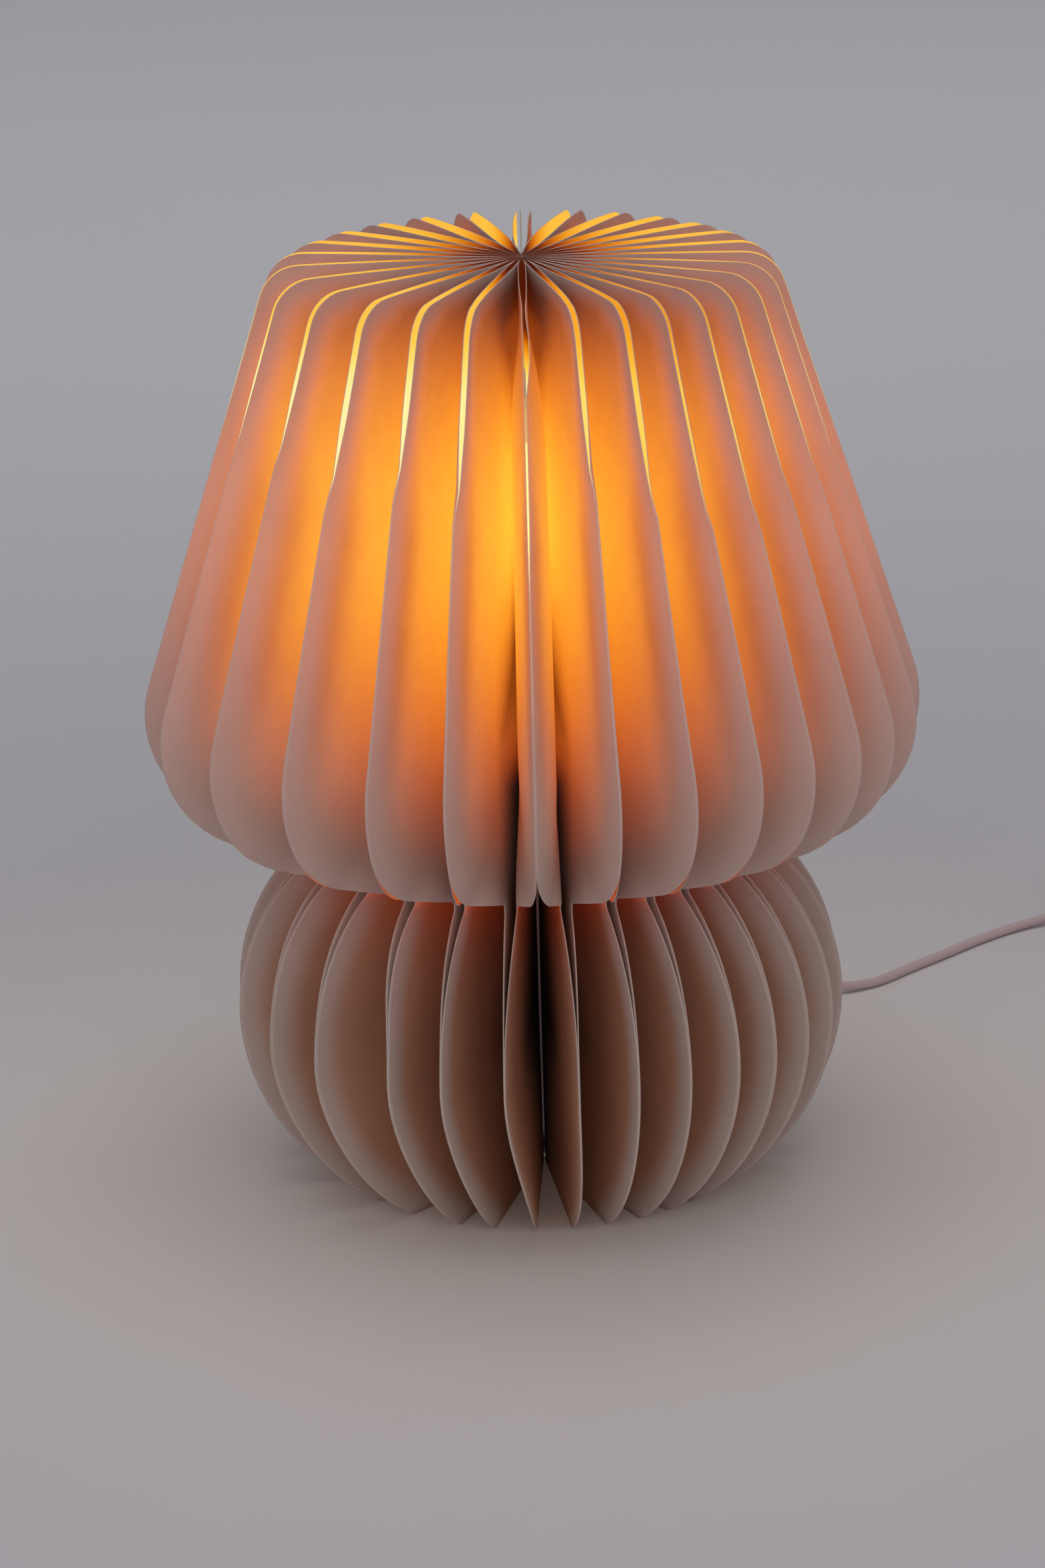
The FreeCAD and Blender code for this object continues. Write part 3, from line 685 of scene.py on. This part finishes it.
class Leaf:
    """One sheet of card, on one side of its pocket, and how it bows."""

    def __init__(self, k, side, opening, reach=flap_reach, bend=flap_bend, crown_reach=crown_reach_front):
        self.k = k
        self.side = side
        self.opening = opening
        self.reach = reach
        self.bend = bend
        self.crown_reach = crown_reach
        self.angle = pocket_angle(k) + shade_drift(k)
        self.lobe = k if side > 0 else k - 1
        self.turn = side * (lobe_angle(self.lobe) - self.angle)
        self.slope = math.sin(math.radians(self.turn))
        self.to_seam = 0
        self.bow = 0.0
        if 0 < k < pocket_count:
            self.to_seam = -1 if k <= rear_pocket else 1
            self.bow = 0.5
        self.inset = 0.0
        gap = groove(k) if side > 0 else groove(k - 1)
        self.spread = min(gap / pitch, 1.04)

    def half_width(self, u, z, depth):
        """How far the sheet stands from its pocket's middle plane."""
        low = 1.0 - ramp(z, mouth_from, mouth_until)
        reach = mixed(self.reach, mouth_reach, low)
        reach = mixed(reach, self.crown_reach, ramp(z, crown_start, crown_end))
        share = u / reach
        flap = flap_hug * self.slope * reach * share / (1.0 + share ** 4) ** 0.25
        opening = self.opening(z)
        run = mixed(flap_run, mouth_run, low)
        rise = 1.0 - (1.0 - min(depth / run, 1.0)) ** self.bend
        return opening + (flap - opening) * rise

    def shade_turn(self, u, z, depth, offset):
        """Degrees from the pocket's middle plane, in the shade."""
        across = self.half_width(u, z, depth) + offset
        kink = kink_height(self.k)
        shift = kink_shift * ramp(z, kink - kink_run, kink + kink_run) * math.exp(-depth / kink_fade)
        wave = math.sin(z / bow_wave + 3.0 * wander(self.k, 3))
        bow = self.bow * wave * (u / shade_radius) ** 2 * ramp(z, bow_from, bow_until)
        return math.degrees((self.side * across + self.to_seam * shift + bow) / u)

    def base_turn(self, u, z, offset):
        """The same in the base, where the sheet lies on the next pocket's but for a slit up to the neck."""
        at_neck = min(u, neck_radius)
        mouth_end = shade_rows[mouth_row]
        to_mouth = math.hypot(mouth_end[1] - at_neck, mouth_end[0] - neck_height)
        neck_turn = self.shade_turn(at_neck, neck_height, to_mouth, 0.0) * self.side
        gap = at_neck * math.radians(self.turn - neck_turn)
        closing = min(max((z - slit_closes) / (neck_height - slit_closes), 0.0), 1.0) ** slit_curve
        gap = glued + (gap - glued) * closing
        return self.side * (self.turn - math.degrees((gap - offset) / u)) + lobe_drift(self.lobe, z)

    def lifted(self, u, z):
        """The foot's edge goes over the cord in the lobes near it."""
        if self.lobe not in (rear_pocket - 2, rear_pocket - 1, rear_pocket, rear_pocket + 1):
            return z
        if z >= notch_lift_ends:
            return z
        outwards = min(max((u - fold_radius) / (notch_inner_reach - fold_radius), 0.0), 1.0)
        notch = mixed(notch_inner_height, notch_height, outwards)
        return notch + z * (notch_lift_ends - notch) / notch_lift_ends

    def place(self, u, z, depth, offset):
        """A point of the sheet. Its offset from the middle of the card shrinks close to the axis."""
        offset *= min(1.0, u / 3.0)
        if z < neck_height:
            turn = self.base_turn(u, z, offset)
            z = self.lifted(u, z)
        else:
            turn = self.shade_turn(u, z, depth, offset)
        turn = math.radians(self.angle + turn)
        return Vector((math.sin(turn) * u, -math.cos(turn) * u, z)) * MM


def add_sheet(mesh, layers, leaf, with_base, with_shade):
    """A leaf, or its part in the base or the shade, with both faces and its edges closed.

    Face material 0 looks into the groove, 1 into the pocket."""
    depth_layer, spread_layer = layers

    def vertex(point, offset):
        u, z, from_rim, from_edge = point
        made = mesh.verts.new(leaf.place(u, z, from_rim, offset))
        made[depth_layer] = from_edge + leaf.inset
        made[spread_layer] = leaf.spread
        return made

    rows = []
    if with_base:
        rows += base_grid
    rows += shade_grid if with_shade else neck_grid
    outer = [[vertex(point, sheet / 2) for point in row] for row in rows]
    inner = [[vertex(point, -sheet / 2) for point in row] for row in rows]

    def face(corners, kind):
        if leaf.side < 0:
            corners = corners[::-1]
        made = mesh.faces.new(corners)
        made.material_index = kind
        made.smooth = True
        return made

    last = len(rows) - 1
    for n in range(last):
        count = min(len(rows[n]), len(rows[n + 1]))
        for m in range(count - 1):
            face((outer[n][m + 1], outer[n][m], outer[n + 1][m], outer[n + 1][m + 1]), 0)
            face((inner[n][m], inner[n][m + 1], inner[n + 1][m + 1], inner[n + 1][m]), 1)

    loop = [(0, m) for m in range(len(rows[0]))]
    for n in range(1, last + 1):
        loop += [(n, m) for m in range(len(rows[n - 1]) - 1, len(rows[n]))]
    loop += [(last, m) for m in range(len(rows[last]) - 2, -1, -1)]
    loop += [(n, 0) for n in range(last - 1, 0, -1)]
    for (n0, m0), (n1, m1) in zip(loop, loop[1:] + loop[:1]):
        made = face((outer[n0][m0], outer[n1][m1], inner[n1][m1], inner[n0][m0]), 0)
        made.smooth = False


def mouth(z, wide):
    """Half the gap at the lower corner, where a pocket opens towards the neck."""
    return wide * min(max((mouth_top - z) / (mouth_top - mouth_bottom), 0.0), 1.0) ** mouth_curve


def at_back(k):
    """1 for the pockets at the back, and 0 for those in front."""
    return ramp(k, 7.5, 10) * (1.0 - ramp(k, 19.5, 22))


def top_opening(k):
    """Half the gap that a pocket's rim has at the top: narrow where the pockets crowd, wide at the back."""
    crowded = ramp(k, 2, 3.5) * (1.0 - ramp(k, 7, 8.5))
    front = mixed(top_gap, top_gap_crowded, crowded)
    return mixed(front, top_gap_back, at_back(k)) * (1.0 + 0.18 * wander(k, 2))


def pair_opening(k):
    kink = kink_height(k)
    wide = top_opening(k)
    held = rear_glued if k == rear_pocket else glued

    def opening(z):
        return mixed(held, wide, ramp(z, kink - 2, kink + opening_run)) + mouth(z, mouth_opening)

    return opening


def right_cover_opening(z):
    lift = 0.3 * ramp(z, 205, 226) + 1.2 * ramp(z, 256, 268) - 0.9 * ramp(z, 270, 280)
    return cover_gap + lift + mouth(z, 4.4)


def left_cover_opening(z):
    return cover_gap + 0.16 * ramp(z, 203, 222) + mouth(z, 2.6)


def new_leaf_mesh():
    mesh = bmesh.new()
    depth_layer = mesh.verts.layers.float.new("depth")
    spread_layer = mesh.verts.layers.float.new("spread")
    return mesh, (depth_layer, spread_layer)


def finish_leaf(name, mesh, materials, body, node):
    piece = finish_piece(name, mesh, materials)
    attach(piece, body)
    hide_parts(node)
    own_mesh(piece)


def make_leaves():
    papers = [paper_material(), pocket_material()]
    leaves = {}
    for k in range(1, pocket_count):
        for side in (1, -1):
            crown_reach = mixed(crown_reach_front, crown_reach_back, at_back(k))
            leaves[k, side] = Leaf(k, side, pair_opening(k), crown_reach=crown_reach)
    leaves[0, 1] = Leaf(0, 1, right_cover_opening, reach=54.0, bend=3.0)
    leaves[pocket_count, -1] = Leaf(pocket_count, -1, left_cover_opening, reach=42.0, bend=1.75)
    leaves[unlit_pocket, 1].spread = unlit_spread
    leaves[0, 1].inset = cover_inset
    leaves[pocket_count, -1].inset = cover_inset

    for k in range(1, pocket_count):
        mesh, layers = new_leaf_mesh()
        for side in (1, -1):
            owns_lobe = side < 0 and k <= rear_pocket or side > 0 and k >= rear_pocket
            add_sheet(mesh, layers, leaves[k, side], owns_lobe, True)
            if owns_lobe:
                add_sheet(mesh, layers, leaves[k + side, -side], True, False)
        body = "rear_pocket" if k == rear_pocket else f"pocket_{k:02d}"
        finish_leaf(f"paper_pair_{k:02d}", mesh, papers, body, f"leaf_pair_{k:02d}")

    for k, side, name in ((0, 1, "right"), (pocket_count, -1, "left")):
        mesh, layers = new_leaf_mesh()
        add_sheet(mesh, layers, leaves[k, side], False, True)
        finish_leaf(f"paper_cover_{name}", mesh, papers, f"cover_{name}", f"cover_leaf_{name}")


def glow_colour(shader, light, green, blue):
    """The colour of so much warm light coming through paper: it saturates in red first.

    Green and blue are each given as the most they reach, a share and a power."""
    colours = shader.add("ShaderNodeCombineColor")
    for socket, (most, share, power) in zip(colours.inputs, ((1.0, 1.0, 1.0), green, blue)):
        amount = light if power == 1.0 else shader.math("POWER", light, power)
        fall = shader.math("EXPONENT", shader.times(amount, -share))
        rise = shader.math("SUBTRACT", 1.0, fall)
        shader.put(socket, rise if most == 1.0 else shader.times(rise, most))
    return colours.outputs[0]


def glow_group():
    """How much of the light stick's light comes through the paper, by place, as a colour and a share."""
    brightest = 0.212
    strength = 0.130
    nearest = 0.045
    width_from = 0.030
    width_until = 0.070
    width_above = 0.049
    width_below = 0.048
    inputs = [("Depth", "NodeSocketFloat"), ("Spread", "NodeSocketFloat")]
    outputs = [("Colour", "NodeSocketColor"), ("Share", "NodeSocketFloat")]
    tree, shader, given, result = new_group("paper_glow", inputs, outputs)
    x, y, z = places(shader)
    depth = given.outputs["Depth"]
    radius = from_axis(shader, x, y)
    near = shader.math("DIVIDE", strength, shader.math("MAXIMUM", radius, nearest))
    reach = shader.math("MINIMUM", shader.math("MAXIMUM", radius, width_from), width_until)
    widening = shader.math("DIVIDE", reach, width_until)
    above = shader.math("SUBTRACT", z, brightest)
    width_up = shader.times(shader.math("POWER", widening, 0.6), width_above)
    width_down = shader.times(shader.math("POWER", widening, 1.1), width_below)
    upper = shader.math("DIVIDE", shader.math("MAXIMUM", above, 0.0), width_up)
    lower = shader.math("DIVIDE", shader.math("MINIMUM", above, 0.0), width_down)
    bell = shader.math("ADD", shader.times(upper, upper), shader.times(lower, lower))
    bell = shader.math("EXPONENT", shader.times(bell, -1.0))
    crowned = shader.times(depth, shader.range(z, brightest, 0.255, 1.0, 2.2))
    rim_band = shader.range(crowned, 2.0, 21.0, 0.16, 1.0)
    light = shader.times(near, bell, rim_band)
    ember = shader.times(shader.range(depth, 8.0, 26.0, 0.0, 0.26), shader.range(z, 0.132, 0.152))
    ember = shader.times(ember, shader.range(z, 0.258, 0.277, 1.0, 0.0))
    light = shader.math("MAXIMUM", light, ember)
    mottle = shader.range(shader.noise(210, 4.0, 0.62), 0.3, 0.7, 0.93, 1.07, "LINEAR")
    light = shader.times(light, shader.math("POWER", given.outputs["Spread"], 1.1), mottle)
    shader.put(result.inputs["Colour"], glow_colour(shader, light, (0.62, 0.37, 1.22), (1.0, 0.012, 1.0)))
    shader.put(result.inputs["Share"], shader.range(light, 0.1, 1.6))
    return tree


def fibre_group():
    """Uncoated paper: long fine fibres and a soft cloud."""
    tree, shader, result = new_grain("paper_fibre")
    long_fibre = shader.noise(900, 5.0, 0.65, (1.0, 1.0, 0.28), 0.6)
    short_fibre = shader.noise(2600, 3.0, 0.6)
    cloud = shader.noise(38, 3.0, 0.55)
    height = shader.weighted(long_fibre, 0.6, short_fibre, 0.4)
    shader.put(result.inputs["Height"], height)
    shader.put(result.inputs["Tint"], shader.weighted(cloud, 0.6, height, 0.4))
    return tree


glow = glow_group()
fibre = fibre_group()


def attribute(shader, name):
    return shader.add("ShaderNodeAttribute", attribute_name=name).outputs["Fac"]


def paper_tone(shader, paper, depth):
    """Pale pink at the rim, with painted shade: darker and browner further into the grooves, darker higher up
    the shade, and near black close to the hub.
    """
    x, y, z = places(shader)
    share = shader.range(paper.outputs["Tint"], 0.35, 0.65)
    in_shade = shader.range(z, 0.100, 0.112)
    pale = shader.mix(in_shade, colour(0.66, 0.52, 0.475), colour(0.68, 0.51, 0.46))
    pale = shader.mix(share, shader.mix(0.06, pale, colour(0, 0, 0)), pale)
    # Painted shade in the grooves: darker higher up the shade, paler low down.
    shaded = shader.mix(shader.range(z, 0.140, 0.195), colour(0.60, 0.48, 0.41), colour(0.33, 0.215, 0.155))
    groove_shade = shader.mix(in_shade, colour(0.62, 0.335, 0.215), shaded)
    groove_shade = shader.mix(share, shader.mix(0.1, groove_shade, colour(0, 0, 0)), groove_shade)
    # Painted shade: near-black paper close to the hub, deepest in the grooves.
    core = shader.mix(share, colour(0.05, 0.028, 0.018), colour(0.065, 0.037, 0.024))
    groove_shade_share = shader.range(depth, 2.0, 12.0)
    return shader.mix(shader.range(depth, 38.0, 76.0), shader.mix(groove_shade_share, pale, groove_shade), core)


def paper_finish(shader, surface, paper):
    shader.put(surface.inputs["Roughness"], shader.range(paper.outputs["Height"], 0.3, 0.7, 0.78, 0.92))
    surface.inputs["Specular IOR Level"].default_value = 0.25
    shader.put(surface.inputs["Normal"], shader.bump(paper.outputs["Height"], 0.3, 0.0002))


def paper_material():
    """The outside of a pocket, lit through from within."""
    material, shader, surface = new_material("leaf_paper")
    depth = attribute(shader, "depth")
    lit = shader.add("ShaderNodeGroup", node_tree=glow)
    shader.put(lit.inputs["Depth"], depth)
    shader.put(lit.inputs["Spread"], attribute(shader, "spread"))
    paper = shader.add("ShaderNodeGroup", node_tree=fibre)
    tone = paper_tone(shader, paper, depth)
    # Painted shade: the paper is darker where the glow is strongest, deep in the grooves.
    shaded = shader.mix(shader.times(lit.outputs["Share"], 0.6), tone, colour(0.24, 0.15, 0.11))
    shader.put(surface.inputs["Base Color"], shaded)
    shader.put(surface.inputs["Emission Color"], lit.outputs["Colour"])
    surface.inputs["Emission Strength"].default_value = 1.0
    paper_finish(shader, surface, paper)
    return material


def pocket_material():
    """The inside of a pocket: bright beside the light stick, with painted shade above the neck, and plain
    paper down in the base.
    """
    material, shader, surface = new_material("pocket_paper")
    paper = shader.add("ShaderNodeGroup", node_tree=fibre)
    x, y, z = places(shader)
    radius = from_axis(shader, x, y)
    near_stick = shader.range(z, 0.165, 0.215, 0.36, 4.8)
    above_neck = shader.range(z, 0.099, 0.107)
    to_top = shader.range(z, 0.252, 0.276, 1.0, 0.52)
    spread = shader.math("POWER", attribute(shader, "spread"), 2.0)
    from_hub = shader.range(radius, 0.012, 0.055, 0.03, 1.0)
    off_crown = shader.range(z, 0.240, 0.262, 1.0, 0.0)
    light = shader.times(near_stick, above_neck, to_top, spread, shader.math("MAXIMUM", from_hub, off_crown))
    tone = paper_tone(shader, paper, attribute(shader, "depth"))
    # Painted shade: above the neck the inside of a pocket is near-black paper, where no outside light
    # reaches.
    shaded = shader.mix(shader.range(z, 0.104, 0.130), tone, colour(0.10, 0.045, 0.025))
    shader.put(surface.inputs["Base Color"], shaded)
    warm = glow_colour(shader, light, (1.0, 0.2, 1.35), (1.0, 0.0032, 3.0))
    shader.put(surface.inputs["Emission Color"], warm)
    surface.inputs["Emission Strength"].default_value = 1.0
    paper_finish(shader, surface, paper)
    return material


# Small parts inside the lamp and on the cord

def grain_group():
    """Moulded plastic and rubber: a fine spark-worn grain and a soft cloud."""
    tree, shader, result = new_grain("moulded_grain")
    fine = shader.noise(2200, 3.0, 0.6)
    cloud = shader.noise(70, 3.0, 0.5)
    shader.put(result.inputs["Height"], fine)
    shader.put(result.inputs["Tint"], shader.range(shader.weighted(cloud, 0.7, fine, 0.3), 0.35, 0.65))
    return tree


def brushed_group():
    """Drawn metal: long scratches one way."""
    tree, shader, result = new_grain("brushed_metal")
    scratch = shader.noise(3000, 3.0, 0.65, (1.0, 0.06, 1.0))
    cloud = shader.noise(120, 2.0)
    shader.put(result.inputs["Height"], scratch)
    shader.put(result.inputs["Tint"], shader.range(shader.weighted(cloud, 0.5, scratch, 0.5), 0.35, 0.65))
    return tree


grain = grain_group()
brushed = brushed_group()


def moulded(name, dark, light, smooth, rough, depth=0.2):
    material, shader, surface = new_material(name)
    worn = shader.add("ShaderNodeGroup", node_tree=grain)
    shader.put(surface.inputs["Base Color"], shader.mix(worn.outputs["Tint"], dark, light))
    shader.put(surface.inputs["Roughness"], shader.range(worn.outputs["Height"], 0.3, 0.7, smooth, rough))
    shader.put(surface.inputs["Normal"], shader.bump(worn.outputs["Height"], depth, 0.0001))
    return material


def metal(name, dark, light, smooth, rough):
    material, shader, surface = new_material(name)
    drawn = shader.add("ShaderNodeGroup", node_tree=brushed)
    surface.inputs["Metallic"].default_value = 1.0
    shader.put(surface.inputs["Base Color"], shader.mix(drawn.outputs["Tint"], dark, light))
    shader.put(surface.inputs["Roughness"], shader.range(drawn.outputs["Height"], 0.3, 0.7, smooth, rough))
    shader.put(surface.inputs["Normal"], shader.bump(drawn.outputs["Height"], 0.1, 0.00005))
    return material


def card_material():
    material, shader, surface = new_material("carrier_card")
    paper = shader.add("ShaderNodeGroup", node_tree=fibre)
    share = shader.range(paper.outputs["Tint"], 0.35, 0.65)
    tone = shader.mix(share, colour(0.46, 0.36, 0.27), colour(0.58, 0.47, 0.37))
    shader.put(surface.inputs["Base Color"], tone)
    paper_finish(shader, surface, paper)
    return material


def diffuser_material():
    """Opal tube: brightest along the middle, and a little cloudy."""
    material, shader, surface = new_material("opal_tube")
    x, y, z = places(shader)
    cloud = shader.noise(140, 3.0)
    opal = shader.mix(cloud, colour(0.82, 0.72, 0.54), colour(0.90, 0.82, 0.66))
    shader.put(surface.inputs["Base Color"], opal)
    shader.put(surface.inputs["Roughness"], shader.range(cloud, 0.3, 0.7, 0.45, 0.6))
    lower_end = shader.range(z, 0.134, 0.152, 0.35, 1.0)
    upper_end = shader.range(z, 0.216, 0.234, 1.0, 0.35)
    middle = shader.times(lower_end, upper_end)
    glowing = shader.mix(middle, colour(0.50, 0.20, 0.04), colour(1.0, 0.66, 0.26))
    shader.put(surface.inputs["Emission Color"], glowing)
    surface.inputs["Emission Strength"].default_value = 1.0
    return material


def board_material():
    """White solder mask over thin tracks."""
    material, shader, surface = new_material("solder_mask")
    x, y, z = places(shader)
    across = shader.math("PINGPONG", x, 0.0012)
    track = shader.range(across, 0.0004, 0.00055)
    cloud = shader.noise(160, 2.0)
    mask = shader.mix(cloud, colour(0.74, 0.74, 0.71), colour(0.80, 0.80, 0.78))
    shader.put(surface.inputs["Base Color"], shader.mix(track, mask, colour(0.66, 0.67, 0.62)))
    shader.put(surface.inputs["Roughness"], shader.range(cloud, 0.3, 0.7, 0.3, 0.42))
    shader.put(surface.inputs["Normal"], shader.bump(track, 0.3, 0.0001))
    return material


def chip_material():
    """Yellow phosphor in a pale frame."""
    material, shader, surface = new_material("phosphor")
    x, y, z = places(shader)
    speck = shader.noise(5200, 2.0)
    middle = shader.range(shader.math("ABSOLUTE", x), 0.0009, 0.0011, 1.0, 0.0)
    phosphor = shader.mix(speck, colour(0.82, 0.56, 0.07), colour(0.92, 0.68, 0.14))
    shader.put(surface.inputs["Base Color"], shader.mix(middle, colour(0.82, 0.80, 0.74), phosphor))
    lit = shader.mix(middle, colour(0.20, 0.12, 0.04), colour(1.0, 0.72, 0.34))
    shader.put(surface.inputs["Emission Color"], lit)
    surface.inputs["Emission Strength"].default_value = 1.0
    shader.put(surface.inputs["Roughness"], shader.range(speck, 0.3, 0.7, 0.25, 0.4))
    return material


def resistor_material():
    """A black body with tinned ends."""
    material, shader, surface = new_material("resistor")
    x, y, z = places(shader)
    speck = shader.noise(3800, 2.0)
    body = shader.mix(speck, colour(0.012, 0.012, 0.013), colour(0.035, 0.035, 0.036))
    tin = shader.mix(speck, colour(0.50, 0.50, 0.50), colour(0.62, 0.62, 0.61))
    row_height = 0.2214
    from_middle = shader.math("ABSOLUTE", shader.math("SUBTRACT", z, row_height))
    shader.put(surface.inputs["Base Color"], shader.mix(shader.range(from_middle, 0.0011, 0.0012), body, tin))
    shader.put(surface.inputs["Roughness"], shader.range(speck, 0.3, 0.7, 0.3, 0.45))
    return material


def wire_material():
    """One red and one black core."""
    material, shader, surface = new_material("core_wire")
    x, y, z = places(shader)
    cloud = shader.noise(400, 2.0)
    red = shader.mix(cloud, colour(0.34, 0.02, 0.015), colour(0.46, 0.035, 0.025))
    black = shader.mix(cloud, colour(0.012, 0.012, 0.012), colour(0.03, 0.03, 0.03))
    shader.put(surface.inputs["Base Color"], shader.mix(shader.range(y, -0.0002, 0.0002), red, black))
    shader.put(surface.inputs["Roughness"], shader.range(cloud, 0.3, 0.7, 0.35, 0.5))
    return material


def dress_small_parts():
    """Gives each shown solid its own finish."""
    boot = moulded("boot_rubber", colour(0.48, 0.24, 0.22), colour(0.56, 0.30, 0.28), 0.6, 0.75)
    switch = moulded("switch_plastic", colour(0.57, 0.33, 0.31), colour(0.64, 0.39, 0.36), 0.42, 0.58)
    rocker = moulded("rocker_plastic", colour(0.64, 0.42, 0.39), colour(0.70, 0.48, 0.44), 0.24, 0.36, 0.1)
    grip = moulded("plug_plastic", colour(0.54, 0.30, 0.28), colour(0.61, 0.36, 0.33), 0.45, 0.6)
    tongue = moulded("tongue_plastic", colour(0.76, 0.76, 0.75), colour(0.84, 0.84, 0.83), 0.2, 0.32, 0.1)
    cap = moulded("cap_plastic", colour(0.66, 0.64, 0.60), colour(0.74, 0.72, 0.68), 0.45, 0.6)
    magnet = moulded("magnet_rubber", colour(0.014, 0.013, 0.013), colour(0.035, 0.032, 0.031), 0.65, 0.8)
    steel = metal("zinc_steel", colour(0.52, 0.52, 0.54), colour(0.64, 0.64, 0.66), 0.28, 0.42)
    brass = metal("contact_brass", colour(0.62, 0.42, 0.13), colour(0.74, 0.53, 0.20), 0.2, 0.34)
    rivet = metal("rivet_aluminium", colour(0.66, 0.66, 0.66), colour(0.76, 0.76, 0.76), 0.3, 0.45)
    nickel = metal("plug_nickel", colour(0.58, 0.58, 0.60), colour(0.68, 0.68, 0.70), 0.16, 0.3)
    chosen = {
        "seam_strip_right": magnet,
        "seam_strip_left": magnet,
        "carrier_card": card_material(),
        "lower_cap": cap,
        "upper_cap": cap,
        "diffuser_tube": diffuser_material(),
        "led_board": board_material(),
        "led_chips": chip_material(),
        "board_resistors": resistor_material(),
        "core_wires": wire_material(),
        "card_rivets": rivet,
        "strain_relief": boot,
        "switch_glands": boot,
        "switch_base": switch,
        "switch_cover": switch,
        "switch_rocker": rocker,
        "switch_pivot": steel,
        "switch_screws": steel,
        "switch_contacts": brass,
        "plug_contacts": brass,
        "plug_grip": grip,
        "plug_shell": nickel,
        "plug_tongue": tongue,
    }
    for name, material in chosen.items():
        data = nodes[name].data
        for n in range(len(data.materials)):
            data.materials[n] = material


# Cord tie

def tie_material():
    """A woven strap: over-and-under threads in two ways."""
    material, shader, surface = new_material("tie_fabric")
    x, y, z = places(shader)
    threads = 9000.0
    warp = shader.math("SINE", shader.times(x, threads))
    weft = shader.math("SINE", shader.times(shader.math("ADD", y, z), threads))
    weave = shader.range(shader.times(warp, weft), -1.0, 1.0)
    fuzz = shader.noise(2600, 3.0, 0.6)
    thread = shader.mix(weave, colour(0.36, 0.28, 0.25), colour(0.56, 0.46, 0.42))
    fuzzy = shader.mix(shader.range(fuzz, 0.5, 0.8, 0.0, 0.4), thread, colour(0.62, 0.53, 0.49))
    shader.put(surface.inputs["Base Color"], fuzzy)
    shader.put(surface.inputs["Roughness"], shader.range(fuzz, 0.3, 0.7, 0.8, 0.95))
    shader.put(surface.inputs["Normal"], shader.bump(weave, 0.5, 0.0002))
    return material


def make_tie():
    """A strap that goes once round the coil's strands, a little fuller along its middle."""
    low, high = [Vector(corner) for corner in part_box("cord_tie")]
    half = (high - low) / 2
    thick = 0.0008
    corner_round = 0.0022
    fullness = 0.00008
    mesh = bmesh.new()
    bmesh.ops.create_cube(mesh, size=2.0)
    bmesh.ops.scale(mesh, verts=mesh.verts, vec=half)
    ends = [face for face in mesh.faces if abs(face.normal.x) > 0.5]
    bmesh.ops.delete(mesh, geom=ends, context="FACES_ONLY")
    corners = [edge for edge in mesh.edges if len(edge.link_faces) == 2]
    bmesh.ops.bevel(mesh, geom=corners, offset=corner_round, offset_type="OFFSET", segments=6, profile=0.5,
                    affect="EDGES", material=-1)
    for share in (-0.94, -0.5, 0.0, 0.5, 0.94):
        whole = mesh.verts[:] + mesh.edges[:] + mesh.faces[:]
        bmesh.ops.bisect_plane(mesh, geom=whole, plane_co=(share * half.x, 0, 0), plane_no=(1, 0, 0))
    outside = mesh.verts[:]
    bmesh.ops.solidify(mesh, geom=mesh.faces[:], thickness=thick)
    for vert in outside:
        share = vert.co.x / half.x
        outwards = Vector((0, vert.co.y, vert.co.z)).normalized()
        vert.co += outwards * fullness * (1.0 - share * share)
    bmesh.ops.translate(mesh, verts=mesh.verts, vec=(low + high) / 2)
    for face in mesh.faces:
        face.smooth = True
    strap = finish_piece("tie_strap", mesh, [tie_material()])
    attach(strap, "rear_pocket")
    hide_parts("cord_tie")
    return strap


make_camera()
make_cords(make_tie())
make_floor()
make_lights()
make_leaves()
dress_small_parts()
